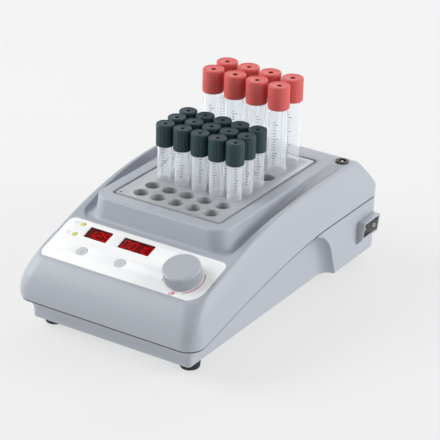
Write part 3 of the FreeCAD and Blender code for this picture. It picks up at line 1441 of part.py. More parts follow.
def main():
    """Writes one STEP file per piece."""
    os.makedirs("parts", exist_ok=True)
    for name, shape in nodes().items():
        placed = shape.copy()
        placed.translate(SHIFT)
        if not placed.isValid():
            print("not valid:", name)
        print(name, len(placed.Solids), round(placed.Volume, 1))
        placed.exportStep(os.path.join("parts", name + ".step"))


main()
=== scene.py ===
import json
import logging
import math
from dataclasses import dataclass, field
from enum import Enum
from typing import Callable, Sequence

import bmesh
import bpy
import numpy as np
from mathutils import Matrix, Vector


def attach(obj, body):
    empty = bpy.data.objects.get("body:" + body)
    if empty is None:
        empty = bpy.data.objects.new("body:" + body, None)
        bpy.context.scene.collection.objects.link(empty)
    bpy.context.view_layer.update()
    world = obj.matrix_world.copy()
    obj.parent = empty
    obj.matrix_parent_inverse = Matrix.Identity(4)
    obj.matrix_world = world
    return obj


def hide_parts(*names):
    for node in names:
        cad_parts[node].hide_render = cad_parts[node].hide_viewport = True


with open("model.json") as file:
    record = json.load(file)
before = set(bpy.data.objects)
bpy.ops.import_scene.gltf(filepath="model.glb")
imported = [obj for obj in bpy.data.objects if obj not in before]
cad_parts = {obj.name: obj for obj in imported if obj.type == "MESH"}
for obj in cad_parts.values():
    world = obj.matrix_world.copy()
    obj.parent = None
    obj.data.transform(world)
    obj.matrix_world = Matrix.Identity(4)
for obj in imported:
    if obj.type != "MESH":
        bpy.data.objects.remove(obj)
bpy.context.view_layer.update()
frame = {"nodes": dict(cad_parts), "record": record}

log = logging.getLogger("dry_bath")

MM = 0.001
"""Metres in a millimetre. Shapes are worked out in the case's own millimetres, then placed."""

SHADE = "shade"
# Name of the painted shade that some pieces store at their points, a tone that darkens their colour.
"""Name of the tone that some pieces store at their points."""

SMOOTH = 32.0
"""Angle in degrees past which an edge stays sharp, where a piece names no other."""

PASSES = 6
"""How often a ring whose height depends on Y is worked out before it is taken as settled."""

Points = np.ndarray
Place = tuple[float, float]
Profile = Sequence[Place]
Piece = bpy.types.Object
Material = bpy.types.Material
Nodes = bpy.types.NodeTree
Socket = bpy.types.NodeSocket
Value = Socket | float


# Sizes of the case, in millimetres

@dataclass(frozen=True)
class Case:
    """Driving sizes of the moulded case, as its solids have them."""

    length: float = 292.5
    width: float = 174.0
    deck_z: float = 96.6
    base_z: float = 8.0
    front_r: float = 14.0
    rear_r: float = 12.0
    seam_gap: float = 0.3
    seam_front_z: float = 27.7
    seam_rear_z: float = 57.4
    seam_run: Place = (17.0, 197.0)
    seam_power: float = 1.45
    side_lean: float = 8.0
    front_lean: float = 15.0
    widest_at: float = 0.2
    panel_setback: float = 17.6
    panel_z: float = 61.3
    panel_tilt: float = math.radians(18.0)
    shoulder_run: Place = (66.0, 192.0)
    back_slope_from: float = 30.5
    knee_z: float = 62.0
    knee_setback: float = 2.0
    back_edge: float = 2.0
    back_edge_reach: float = 14.0
    feet: tuple[float, float, float] = (66.0, 27.5, 256.5)
    shift: tuple[float, float, float] = (-3.5, -2.3, 0.0)

    @property
    def front(self) -> float:
        """Y of the case's front."""
        return -self.length / 2

    @property
    def rear(self) -> float:
        """Y of the case's back."""
        return self.length / 2

    @property
    def side(self) -> float:
        """Half the case's width."""
        return self.width / 2

    @property
    def panel_y(self) -> float:
        """Y of the panel's front edge."""
        return self.front + self.panel_setback

    def place(self, points: Points) -> Points:
        """Moves points from the case's millimetres to the frame's metres.

        Args:
            points: an array whose last axis is X, Y, Z.

        Returns:
            The same array in metres, in the frame's axes.
        """
        return (np.asarray(points, float) + np.array(self.shift)) * MM

    def unplace(self, points: Points) -> Points:
        """Moves points from the frame's metres back to the case's millimetres."""
        return np.asarray(points, float) / MM - np.array(self.shift)

    def seam(self, y: Points) -> Points:
        """Height of the split line: it climbs from the front by a power curve and levels out.

        Args:
            y: Y of each point.

        Returns:
            The height at each Y.
        """
        start, end = (self.front + s for s in self.seam_run)
        t = np.clip((y - start) / (end - start), 0.0, 1.0)
        climb = self.seam_rear_z - self.seam_front_z
        return self.seam_front_z + climb * (1.0 - (1.0 - t) ** self.seam_power)

    def ridge(self, y: Points) -> Points:
        """Height of the shoulders: the panel's slope, then a power curve that levels at the deck.

        Args:
            y: Y of each point.

        Returns:
            The height at each Y.
        """
        start, end = (self.front + s for s in self.shoulder_run)
        slope = math.tan(self.panel_tilt)
        start_z = self.panel_z + (start - self.panel_y) * slope
        t = np.clip((y - start) / (end - start), 0.0, 1.0)
        power = slope * (end - start) / (self.deck_z - start_z)
        rise = start_z + (self.deck_z - start_z) * (1.0 - (1.0 - t) ** power)
        return np.where(y <= start, self.panel_z + (y - self.panel_y) * slope, rise)

    def top(self, y: Points) -> Points:
        """Height of the cover's top: the ridge, rounded into the slope at the back and its ledge.

        Args:
            y: Y of each point.

        Returns:
            The height at each Y.
        """
        knee_y = self.rear - self.knee_setback
        slope_y = self.rear - self.back_slope_from
        drop = (self.deck_z - self.knee_z) / (knee_y - slope_y)
        ridge, back = self.ridge(y), self.deck_z - (y - slope_y) * drop
        rounded = (ridge + back - np.sqrt((ridge - back) ** 2 + self.back_edge ** 2)) / 2
        return np.maximum(np.where(y < slope_y - self.back_edge_reach, ridge, rounded), self.knee_z)

    def lean(self, y: Points, z: Points) -> Points:
        """Share of the wall's lean: zero where it is widest, one at the shoulder, a parabola between.

        Args:
            y: Y of each point.
            z: height of each point.

        Returns:
            The share at each point.
        """
        h = (z - self.seam(y)) / (self.ridge(y) - self.seam(y))
        reach = 1.0 - self.widest_at
        return np.where(h <= 1.0, ((h - self.widest_at) / reach) ** 2, 1.0 + 2.0 * (h - 1.0) / reach)

    def on_panel(self, points: Points) -> Points:
        """Moves points from panel coordinates, whose Z is 0 on its face, to the case's millimetres.

        Args:
            points: U, V and height over the panel of each point.

        Returns:
            X, Y, Z of each point.
        """
        c, s = math.cos(self.panel_tilt), math.sin(self.panel_tilt)
        turn = np.array([[1, 0, 0], [0, c, -s], [0, s, c]])
        return np.asarray(points, float) @ turn.T + (0.0, self.panel_y, self.panel_z)

    def foot_places(self) -> list[Place]:
        """X, Y of the four feet, front pair first."""
        x, front, rear = self.feet
        return [(side * x, self.front + y) for y in (front, rear) for side in (-1, 1)]


CASE = Case()


# Mesh making

def grid_faces(rows: int, columns: int, wrap: bool) -> np.ndarray:
    """Quads of a grid of points, row by row.

    Args:
        rows: how many rows of points there are.
        columns: how many points a row has.
        wrap: whether the last column joins the first.

    Returns:
        An array of four point numbers a quad, which wind anticlockwise seen from outside when
        the rows climb and the columns run anticlockwise seen from above.
    """
    r = np.arange(rows - 1)[:, None]
    c = np.arange(columns if wrap else columns - 1)[None, :]
    nxt = (c + 1) % columns
    here, above = r * columns, (r + 1) * columns
    return np.stack([here + c, here + nxt, above + nxt, above + c], -1).reshape(-1, 4)


def linked(name: str, data: bpy.types.ID) -> Piece:
    """Makes an object of a mesh, curve, lamp or camera and links it to the scene.

    Args:
        name: the object's name.
        data: what it shows.

    Returns:
        The object.
    """
    obj = bpy.data.objects.new(name, data)
    bpy.context.scene.collection.objects.link(obj)
    return obj


def evaluated(obj: Piece) -> bpy.types.Mesh:
    """A new mesh of an object, with its modifiers or its curve worked out.

    Args:
        obj: a mesh or curve object.

    Returns:
        The new mesh.
    """
    graph = bpy.context.evaluated_depsgraph_get()
    graph.update()
    return bpy.data.meshes.new_from_object(obj.evaluated_get(graph))


def column(items: bpy.types.bpy_prop_collection, name: str, width: int = 3, kind: type = float) -> np.ndarray:
    """Reads one property of every item of a mesh's list.

    Args:
        items: the vertices, loops or polygons.
        name: the property.
        width: how many numbers it has.
        kind: the type of the numbers.

    Returns:
        An array with a row for each item.
    """
    values = np.empty(len(items) * width, kind)
    items.foreach_get(name, values)
    return values.reshape(-1, width) if width > 1 else values


def mesh_piece(name: str, points: Points, faces: np.ndarray | list,
               sharp: float = SMOOTH) -> Piece:
    """Makes a mesh object from points in metres, merged and shaded smooth below an angle.

    Args:
        name: the piece's name.
        points: an array of X, Y, Z in metres.
        faces: the point numbers of each face.
        sharp: the angle in degrees past which an edge is sharp.

    Returns:
        The object, linked to the scene.
    """
    mesh = bpy.data.meshes.new(name)
    faces = faces.tolist() if isinstance(faces, np.ndarray) else faces
    mesh.from_pydata(np.asarray(points).reshape(-1, 3).tolist(), [], faces)
    return tidy(linked(name, mesh), sharp)


def tidy(obj: Piece, sharp: float = SMOOTH, merge: float = 2e-6,
         outward: bool = True) -> Piece:
    """Merges doubled points, drops flat scraps, turns the faces outwards and marks the sharp edges.

    Args:
        obj: the piece.
        sharp: the angle in degrees past which an edge is sharp.
        merge: distance in metres under which points merge.
        outward: whether the faces are turned.

    Returns:
        The same piece.
    """
    bm = bmesh.new()
    bm.from_mesh(obj.data)
    bmesh.ops.remove_doubles(bm, verts=bm.verts, dist=merge)
    bmesh.ops.dissolve_degenerate(bm, edges=bm.edges, dist=merge / 4)
    if outward:
        bmesh.ops.recalc_face_normals(bm, faces=bm.faces)
    bm.to_mesh(obj.data)
    bm.free()
    return smooth(obj, sharp)


def smooth(obj: Piece, sharp: float = SMOOTH) -> Piece:
    """Shades a mesh smooth except across edges past the given angle.

    Args:
        obj: the piece.
        sharp: the angle in degrees past which an edge is sharp.

    Returns:
        The same piece.
    """
    obj.data.shade_smooth()
    obj.data.set_sharp_from_angle(angle=math.radians(sharp))
    return obj


def applied(obj: Piece) -> Piece:
    """Bakes an object's modifiers into its mesh and removes them.

    Args:
        obj: the piece.

    Returns:
        The same piece.
    """
    mesh = evaluated(obj)
    obj.modifiers.clear()
    old, obj.data = obj.data, mesh
    bpy.data.meshes.remove(old)
    return obj


def thickened(obj: Piece, wall: float) -> Piece:
    """Gives a closed skin a wall of even thickness on its inner side, in millimetres.

    Args:
        obj: the piece.
        wall: the thickness.

    Returns:
        The same piece.
    """
    modifier = obj.modifiers.new("wall", "SOLIDIFY")
    modifier.thickness = wall * MM
    modifier.offset = -1.0
    return applied(obj)


def carve(obj: Piece, cutters: Sequence[Piece],
          sharp: float = SMOOTH) -> Piece:
    """Cuts other closed meshes out of a closed mesh, then removes them.

    Args:
        obj: the piece.
        cutters: what is cut out.
        sharp: the angle in degrees past which an edge is sharp.

    Returns:
        The same piece.
    """
    for cutter in cutters:
        modifier = obj.modifiers.new("cut", "BOOLEAN")
        modifier.operation = "DIFFERENCE"
        modifier.solver = "EXACT"
        modifier.object = cutter
        applied(obj)
        bpy.data.objects.remove(cutter)
    return smooth(obj, sharp)


def bevelled(obj: Piece, width: float, segments: int = 2, angle: float = 35.0) -> Piece:
    """Rounds a mesh's sharp edges.

    Args:
        obj: the mesh object.
        width: the rounding in millimetres.
        segments: steps across the rounding.
        angle: the angle in degrees past which an edge is rounded.

    Returns:
        The same object with its edges rounded.
    """
    modifier = obj.modifiers.new("edges", "BEVEL")
    modifier.width = width * MM
    modifier.segments = segments
    modifier.limit_method = "ANGLE"
    modifier.angle_limit = math.radians(angle)
    return smooth(applied(obj), 40.0)


def rounded_rectangle(x0: float, x1: float, y0: float, y1: float, radii: Sequence[float],
                      steps: int = 10) -> Points:
    """Outline with a radius at each corner: front left, front right, back right, back left.

    Args:
        x0: left side.
        x1: right side.
        y0: front side.
        y1: back side.
        radii: radius of each corner.
        steps: points round each corner.

    Returns:
        The outline, anticlockwise.
    """
    fl, fr, br, bl = radii
    turn = np.linspace(0.0, math.pi / 2, steps)
    corners = ((x0 + fl, y0 + fl, fl, math.pi), (x1 - fr, y0 + fr, fr, 1.5 * math.pi),
               (x1 - br, y1 - br, br, 0.0), (x0 + bl, y1 - bl, bl, 0.5 * math.pi))
    return np.concatenate([np.stack([x + r * np.cos(a + turn), y + r * np.sin(a + turn)], 1)
                           for x, y, r, a in corners])


def circle(x: float, y: float, r: float, steps: int = 48) -> Points:
    """A circle's outline."""
    a = np.linspace(0.0, 2 * math.pi, steps, endpoint=False)
    return np.stack([x + r * np.cos(a), y + r * np.sin(a)], 1)


def prism(name: str, outline: Points, z0: float, z1: float, holes: Sequence[Points] = (),
          to_case: Callable[[Points], Points] = lambda p: p, bevel: float = 0.0) -> Piece:
    """A flat plate from an outline with holes.

    Args:
        name: the piece's name.
        outline: X, Y of the outer edge in millimetres.
        z0: the plate's underside.
        z1: the plate's upper side.
        holes: outlines of its holes.
        to_case: moves the points into the case's millimetres.
        bevel: rounding of the edges, in millimetres.

    Returns:
        The plate as a mesh object, in place.
    """
    curve = bpy.data.curves.new(name, "CURVE")
    curve.dimensions = "2D"
    curve.fill_mode = "BOTH"
    curve.extrude = (z1 - z0) / 2 - bevel
    curve.bevel_depth = bevel
    curve.offset = -bevel
    curve.bevel_resolution = 1
    for ring in (outline, *holes):
        spline = curve.splines.new("POLY")
        spline.points.add(len(ring) - 1)
        spline.points.foreach_set("co", np.insert(ring, (2, 2), (0.0, 1.0), axis=1).ravel())
        spline.use_cyclic_u = True
    flat = linked(name, curve)
    mesh = evaluated(flat)
    bpy.data.objects.remove(flat)
    bpy.data.curves.remove(curve)
    co = column(mesh.vertices, "co") + (0.0, 0.0, (z0 + z1) / 2)
    mesh.vertices.foreach_set("co", CASE.place(to_case(co)).ravel())
    mesh.name = name
    return tidy(linked(name, mesh), 30.0)


def lathe(profile: Profile, steps: int,
          wave: Callable[[Points, Points, Points], Points] | None = None) -> Points:
    """Turns a profile about Z.

    Args:
        profile: radius and height pairs.
        steps: how many points a turn has.
        wave: gives the radius from arrays of angle, radius and height, for ribs and ridges.

    Returns:
        A grid of points, one row for each point of the profile.
    """
    rz = np.array(profile, float)
    a = np.linspace(0.0, 2 * math.pi, steps, endpoint=False)[None, :]
    r = np.repeat(rz[:, :1], steps, 1)
    z = np.repeat(rz[:, 1:], steps, 1)
    if wave is not None:
        r = wave(a + 0 * r, r, z)
    return np.stack([r * np.cos(a), r * np.sin(a), z], -1)


def paint(obj: Piece, shade: Callable[[Points], Points]) -> Piece:
    """Stores painted shade at each point of a mesh, a tone that its material multiplies into its colour.

    Args:
        obj: the piece.
        shade: gives the painted shade, 0 to 1, from the points in the case's millimetres.

    Returns:
        The same piece.
    """
    points = CASE.unplace(column(obj.data.vertices, "co"))
    layer = obj.data.attributes.new(SHADE, "FLOAT", "POINT")
    layer.data.foreach_set("value", shade(points))
    return obj


@dataclass(frozen=True)
class TubeScale:
    """The printed scale of a tube: turns round its axis, and heights in centimetres."""

    turn: float = 0.80
    swing: float = 0.05
    swing_step: float = 2.4
    swing_start: float = 0.7
    low: float = 3.9
    high: float = 8.0
    thick: float = 0.045
    ink: float = 0.72
    lines: tuple[Place, ...] = ((0.25, 0.05), (1.25, 0.09))


SCALE = TubeScale()


def scale_map(obj: Piece, places: Sequence[Place], low: float) -> Piece:
    """Gives upright tubes a UV map: turns round their own axis, and height in centimetres.

    A corner's turn is kept within half a turn of its face's, so that no face spans the whole map.

    Args:
        obj: the tubes.
        places: X, Y of each tube's axis.
        low: height of their lowest points.

    Returns:
        The same piece.
    """
    mesh, axes = obj.data, np.array(places)
    points = CASE.unplace(column(mesh.vertices, "co"))
    middle = CASE.unplace(column(mesh.polygons, "center"))
    corner = column(mesh.loops, "vertex_index", 1, int)
    size = column(mesh.polygons, "loop_total", 1, int)
    which = np.argmin(np.linalg.norm(middle[:, None, :2] - axes[None], axis=2), axis=1)
    own = np.repeat(which, size)
    away = points[corner, :2] - axes[own]
    face_away = np.repeat(middle[:, :2] - axes[which], size, axis=0)
    around, near = (np.arctan2(v[:, 1], v[:, 0]) / (2 * math.pi) for v in (away, face_away))
    around = near + (around - near + 0.5) % 1.0 - 0.5
    turned = around + SCALE.swing * np.sin(SCALE.swing_step * own + SCALE.swing_start) + 1.0
    layer = mesh.uv_layers.new(name="scale")
    layer.data.foreach_set("uv", np.stack([turned, (points[corner, 2] - low) / 10.0], 1).ravel())
    return obj


def repeated(grid: Points, places: Sequence[Place]) -> tuple[Points, np.ndarray]:
    """Copies one grid of points to several places.

    Args:
        grid: rows of points round an upright axis.
        places: X, Y of each copy's axis.

    Returns:
        All the points and all the quads.
    """
    rows, columns, _ = grid.shape
    moves = np.array([(x, y, 0.0) for x, y in places])
    points = grid.reshape(1, -1, 3) + moves[:, None, :]
    quads = grid_faces(rows, columns, True)
    quads = quads[None] + (np.arange(len(moves)) * rows * columns)[:, None, None]
    return points.reshape(-1, 3), quads.reshape(-1, 4)


def arc_profile(r: float, z: float, radius: float, start: float, end: float, steps: int = 5) -> list[Place]:
    """Radius and height pairs round a corner whose centre is at (r, z); the angles are in degrees."""
    a = np.radians(np.linspace(start, end, steps))
    return list(zip((r + radius * np.cos(a)).tolist(), (z + radius * np.sin(a)).tolist()))


def refined(node: str, name: str, bevel: float) -> Piece:
    """A smooth, merged copy of a solid with rounded edges, which stands for that solid.

    Args:
        node: the solid's name.
        name: the new piece's name.
        bevel: rounding of its edges in millimetres.

    Returns:
        The piece, not yet riding on its body.
    """
    obj = tidy(linked(name, frame["nodes"][node].data.copy()), merge=1e-6, outward=False)
    modifier = obj.modifiers.new("flat", "DECIMATE")
    modifier.decimate_type = "DISSOLVE"
    modifier.angle_limit = math.radians(1.0)
    return bevelled(applied(obj), bevel)


def settle(obj: Piece, material: Material, body: str, slot: str,
           nodes: Sequence[str] = ()) -> Piece:
    """Dresses a piece, seats it on its body and hides the solids that it stands for.

    Args:
        obj: the piece.
        material: its finish.
        body: the body that it rides on.
        slot: the record's material slot; not used.
        nodes: the solids that it replaces.

    Returns:
        The same piece.
    """
    obj.data.materials.clear()
    obj.data.materials.append(material)
    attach(obj, body)
    if nodes:
        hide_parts(*nodes)
    log.info("%s: %d faces", obj.name, len(obj.data.polygons))
    return obj


def box_cutter(x: Place, y: Place, z: Place) -> Piece:
    """A box to cut with, from its ends along each axis in millimetres.

    Args:
        x: left and right.
        y: front and back.
        z: bottom and top.

    Returns:
        The box.
    """
    corners = np.array([(a, b, c) for a in x for b in y for c in z])
    quads = np.array([(0, 1, 3, 2), (4, 6, 7, 5), (0, 4, 5, 1), (2, 3, 7, 6), (0, 2, 6, 4), (1, 5, 7, 3)])
    return mesh_piece("cutter", CASE.place(corners), quads)


def rod_cutter(x: float, y: float, r: float, low: float, high: float) -> Piece:
    """An upright cylinder to cut with."""
    return prism("cutter", circle(x, y, r), low, high)


# The case

@dataclass
class Loop:
    """How points are spread along half a closed outline, from the front's middle round to the back's."""

    front: int = 22
    front_corner: int = 14
    side: int = 112
    rear_corner: int = 26
    rear: int = 18
    gather: float = 1.3

    @property
    def counts(self) -> tuple[int, int, int, int, int]:
        """How many points each segment has: front, front corner, side, back corner, back."""
        return self.front, self.front_corner, self.side, self.rear_corner, self.rear

    def across_front(self) -> Points:
        """Shares along the front, which gather towards its corner by a power."""
        return 1.0 - (1.0 - np.arange(self.front) / self.front) ** self.gather

    def spread(self) -> tuple[np.ndarray, np.ndarray]:
        """Segment number and share along that segment of every point of the half outline.

        Returns:
            The segment numbers and the shares.
        """
        segment = np.repeat(np.arange(5), self.counts)
        shares = [self.across_front()] + [np.arange(n) / n for n in self.counts[1:4]]
        return segment, np.concatenate(shares + [np.linspace(0.0, 1.0, self.rear)])

    def settled(self, ring: Callable[[Points], tuple[Points, Points]],
                height: Callable[[Points], Points]) -> Points:
        """A closed ring whose outline depends on its height and whose height depends on Y.

        Args:
            ring: X and Y of half the ring, from the heights of its points.
            height: height from Y.

        Returns:
            The closed ring, found by repeated substitution.
        """
        y = np.zeros(sum(self.counts))
        for _ in range(PASSES):
            x, y = ring(height(y))
        return closed(np.stack([x, y, height(y)], 1))

    def rounded(self, front: Points | float, rear: float, half: Callable[[Points], Points], front_r: float,
                rear_r: float, side_end: float | None = None) -> tuple[Points, Points]:
        """Half a rounded rectangle whose half width may change along it.

        Args:
            front: Y of the front, one for all or one for each point.
            rear: Y of the back.
            half: half width from Y.
            front_r: radius of the front corner.
            rear_r: radius of the back corner.
            side_end: Y where the side's points end and the back corner's begin, if before the corner.

        Returns:
            X and Y of every point.
        """
        segment, t = self.spread()
        front = front + 0.0 * t
        angle = t * math.pi / 2
        start, end = front + front_r, rear - rear_r
        x_front, x_rear = half(start) - front_r, half(end) - rear_r
        straight = 0.0 if side_end is None else end - side_end
        side_y = start + (end - straight - start) * t
        share = straight / (straight + rear_r * math.pi / 2)
        turn = np.clip((t - share) / (1.0 - share), 0.0, 1.0) * math.pi / 2
        along = end - straight + straight * np.clip(t / max(share, 1e-9), 0.0, 1.0)
        on = [segment == i for i in range(5)]
        x = np.select(on, [x_front * t, x_front + front_r * np.sin(angle), half(side_y),
                           np.where(t < share, half(along), x_rear + rear_r * np.cos(turn)),
                           x_rear * (1.0 - t)])
        y = np.select(on, [front, start - front_r * np.cos(angle), side_y,
                           np.where(t < share, along, end + rear_r * np.sin(turn)), rear + 0.0 * t])
        return x, y


def closed(half: Points) -> Points:
    """Completes half an outline with its mirror image across X = 0."""
    return np.concatenate([half, half[-2:0:-1] * (-1.0, 1.0, 1.0)])


def inward(ring: Points) -> Points:
    """Unit normals in plan that point into an anticlockwise ring.

    Args:
        ring: the ring, of which only X and Y count.

    Returns:
        A normal for each point.
    """
    run = np.roll(ring, -1, 0) - np.roll(ring, 1, 0)
    normal = np.stack([-run[:, 1], run[:, 0]], 1)
    return normal / np.maximum(np.linalg.norm(normal, axis=1, keepdims=True), 1e-9)


def bent(p0: Points, p1: Points, p2: Points, steps: int) -> list[Points]:
    """Rings along a quadratic curve from p0 past p1 to p2, without p0."""
    shares = np.linspace(0, 1, steps + 1)[1:]
    return [(1 - u) ** 2 * p0 + 2 * u * (1 - u) * p1 + u ** 2 * p2 for u in shares]


def blended(start: Points, end: Points, shares: Sequence[float]) -> list[Points]:
    """Rings part of the way from one ring to another, at the given shares."""
    return [start + (end - start) * share for share in shares]


def lifted(ring: Points, height: Callable[[Points], Points]) -> Points:
    """A copy of a ring with its heights worked out again from Y."""
    return np.column_stack([ring[:, :2], height(ring[:, 1])])


@dataclass
class TopCover:
    """The moulded cover: leaning walls, sloping panel, shoulders, valley, raised frame and deck.

    Starts and ends are set back from the case's front, and halves are half widths.
    """

    loop: Loop = field(default_factory=Loop)
    wall: float = 2.2
    lip: tuple[Place, ...] = ((0.0, 0.6), (0.08, 0.25), (0.25, 0.06), (0.6, 0.0))
    lip_height: float = 0.75
    shoulder: float = 1.7
    slope_lead: float = 0.8
    valley_start: float = 67.5
    valley_end: float = 243.0
    valley_z: float = 76.6
    valley_half: float = 71.0
    valley_draft: float = 0.25
    valley_round: float = 4.0
    rim_round: float = 1.0
    rim_rear_y: float = 112.0
    rim_radii: Place = (15.0, 20.0)
    guide_half: float = 77.1
    guide_setbacks: Place = (3.0, 7.0)
    guide_radii: Place = (15.0, 10.0)
    frame_half: float = 63.5
    frame_start: float = 74.5
    frame_end: float = 256.0
    frame_base: float = 70.6
    frame_flare: float = 6.0
    frame_front_flare: float = 3.0
    frame_r: float = 15.0
    frame_round: float = 2.2
    frame_root: float = 3.0
    frame_toe: float = 2.0
    opening: tuple[float, float, float] = (52.2, 87.7, 241.3)
    opening_r: float = 3.8
    recess_width: float = 1.35
    recess_depth: float = 1.2
    window_half: float = 73.5
    window_run: Place = (2.0, 48.5)
    window_radii: tuple[float, float, float, float] = (11.0, 11.0, 3.0, 3.0)
    window_cut: Place = (-9.0, 3.0)
    socket: Place = (70.0, 252.0)
    socket_r: float = 4.6
    socket_cut: Place = (-8.0, 4.0)

    @property
    def slope_start(self) -> float:
        """Y just before the back slope begins, where the side's points end."""
        return CASE.rear - CASE.back_slope_from - self.slope_lead

    def wall_ring(self, height: Callable[[Points], Points], inset: float = 0.0) -> Points:
        """Ring of the outer wall, whose lean follows a parabola of its height.

        Args:
            height: height from Y.
            inset: how far the ring is drawn in.

        Returns:
            The closed ring.
        """

        def outline(z: Points) -> tuple[Points, Points]:
            """Half the ring at given heights.

            Args:
                z: height of each point.

            Returns:
                X and Y of half the ring.
            """
            lean = CASE.lean(CASE.front + CASE.front_lean + 0 * z, z)
            return self.loop.rounded(
                CASE.front + CASE.front_lean * lean + inset, CASE.rear - inset,
                lambda y: CASE.side - CASE.side_lean * CASE.lean(y, z) - inset,
                CASE.front_r - inset, CASE.rear_r - inset, self.slope_start)

        return self.loop.settled(outline, height)

    def floor(self, y: Points) -> Points:
        """Height of the valley's floor: a plane that climbs from the panel to the deck.

        Args:
            y: Y of each point.

        Returns:
            The height at each Y.
        """
        start, end = CASE.front + self.valley_start, CASE.front + self.valley_end
        climb = self.valley_z + (y - start) * (CASE.deck_z - self.valley_z) / (end - start)
        return np.minimum(climb, CASE.deck_z)

    def frame_height(self, y: Points) -> Points:
        """How far the raised frame stands over the valley's floor."""
        return CASE.deck_z - self.floor(y)

    def root(self, y: Points) -> Points:
        """Height of the rounding at the frame's foot, less where the frame is low."""
        return np.minimum(self.frame_root, 0.4 * self.frame_height(y))

    def edge(self, y: Points) -> Points:
        """Radius of the frame's upper edge, less where the frame is low."""
        return np.minimum(self.frame_round, 0.45 * self.frame_height(y))

    def frame_ring(self, height: Callable[[Points], Points]) -> Points:
        """Ring of the raised frame's wall, which flares towards its foot by a parabola.

        Args:
            height: height from Y.

        Returns:
            The closed ring.
        """

        def outline(z: Points) -> tuple[Points, Points]:
            """Half the ring at given heights.

            Args:
                z: height of each point.

            Returns:
                X and Y of half the ring.
            """
            spread = (1.0 - (z - self.frame_base) / (CASE.deck_z - self.frame_base)) ** 2
            return self.loop.rounded(
                CASE.front + self.frame_start - self.frame_front_flare * spread, CASE.front + self.frame_end,
                lambda y: self.frame_half + self.frame_flare * spread + 0 * y, self.frame_r, self.frame_r)

        return self.loop.settled(outline, height)

    def walls(self) -> list[Points]:
        """Rings from the split line up over the rounded shoulder.

        Returns:
            The rings, the last of them inside the shoulder.
        """
        gap = CASE.seam_gap / 2
        rings = [self.wall_ring(lambda y, up=up: CASE.seam(y) + gap + up, inset) for up, inset in self.lip]
        for share in np.linspace(0.0, 1.0, 15)[1:]:
            rings.append(self.wall_ring(
                lambda y, share=share: CASE.seam(y) + self.lip_height
                + share * (CASE.top(y) - self.shoulder - CASE.seam(y) - self.lip_height)))
        edge = self.wall_ring(CASE.top)
        inner = edge.copy()
        inner[:, :2] += inward(edge) * self.shoulder
        return rings + bent(rings[-1], edge, lifted(inner, CASE.top), 6)

    def valley(self, shoulder: Points) -> list[Points]:
        """Rings from the shoulder across the top, down the valley's wall and along its floor.

        Args:
            shoulder: the last ring of the walls.

        Returns:
            The rings, the last of them on the valley's floor.
        """
        x, y = self.loop.rounded(
            CASE.front + self.valley_start - self.valley_draft, self.rim_rear_y,
            lambda v: self.valley_half + (CASE.ridge(v) - self.valley_z) * self.valley_draft, *self.rim_radii)
        rim = closed(np.stack([x, y, CASE.top(y)], 1))
        normal = inward(rim)
        depth = np.clip(rim[:, 2] - self.floor(rim[:, 1]), 0.0, None)[:, None]
        near = np.minimum(self.rim_round, 0.45 * depth)
        outer = rim.copy()
        outer[:, :2] -= normal * near
        outer = lifted(outer, CASE.top)
        setback, rear_setback = self.guide_setbacks
        x, y = self.loop.rounded(shoulder[:, 1].min() + setback, CASE.rear - rear_setback,
                                 lambda v: self.guide_half + 0 * v, *self.guide_radii, self.slope_start)
        guide = closed(np.stack([x, y, CASE.top(y)], 1))
        rings = [lifted(ring, CASE.top)
                 for start, end, steps in ((shoulder, guide, 10), (guide, outer, 24))
                 for ring in blended(start, end, np.linspace(0.0, 1.0, steps)[1:])]
        down = np.concatenate([normal * self.valley_draft, -np.ones((len(normal), 1))], 1)
        foot = lifted(rim + down * depth, self.floor)
        far = np.minimum(self.valley_round, 0.55 * depth)
        rings += bent(outer, rim, rim + down * near, 3)
        rings += bent(rim + down * near, foot - down * far * 0.6, foot - down * far * 0.5, 1)
        toe = foot.copy()
        toe[:, :2] += normal * far
        return rings + bent(foot - down * far * 0.5, foot, lifted(toe, self.floor), 4)

    def raised_frame(self, toe: Points) -> list[Points]:
        """Rings from the valley's floor up the frame, over its edge and down into the block's opening.

        Args:
            toe: the last ring of the valley.

        Returns:
            The rings, the last of them inside the opening.
        """
        base = self.frame_ring(self.floor)
        before = base.copy()
        before[:, :2] -= inward(base) * np.minimum(self.root(base[:, 1:2]), self.frame_toe)
        before = lifted(before, self.floor)
        rings = blended(toe, before, (0.33, 0.66, 1.0))
        rings += bent(before, base, self.frame_ring(lambda y: self.floor(y) + self.root(y)), 4)
        for share in np.linspace(0.0, 1.0, 6)[1:]:
            rings.append(self.frame_ring(
                lambda y, share=share: self.floor(y) + self.root(y)
                + share * (self.frame_height(y) - self.root(y) - self.edge(y))))
        edge = self.frame_ring(lambda y: CASE.deck_z + 0 * y)
        flat = edge.copy()
        flat[:, :2] += inward(edge) * self.edge(base[:, 1:2])
        rings += bent(rings[-1], edge, flat, 6)
        recess = self.recess()
        return rings + blended(flat, recess[0], (0.25, 0.5, 0.75)) + recess

    def recess(self) -> list[Points]:
        """Level rings of the step round the block's opening, from the deck down.

        Returns:
            The rings.
        """
        half, start, end = self.opening
        width, deck, ledge = self.recess_width, CASE.deck_z, CASE.deck_z - self.recess_depth
        rings = []
        for grow, z in ((width + 0.3, deck), (width + 0.08, deck - 0.06), (width, deck - 0.3),
                        (width, ledge), (0.0, ledge), (0.0, ledge - 1.5)):
            r = self.opening_r + grow
            x, y = self.loop.rounded(CASE.front + start - grow, CASE.front + end + grow,
                                     lambda v, grow=grow: half + grow + 0 * v, r, r)
            rings.append(closed(np.stack([x, y, np.full_like(x, z)], 1)))
        return rings

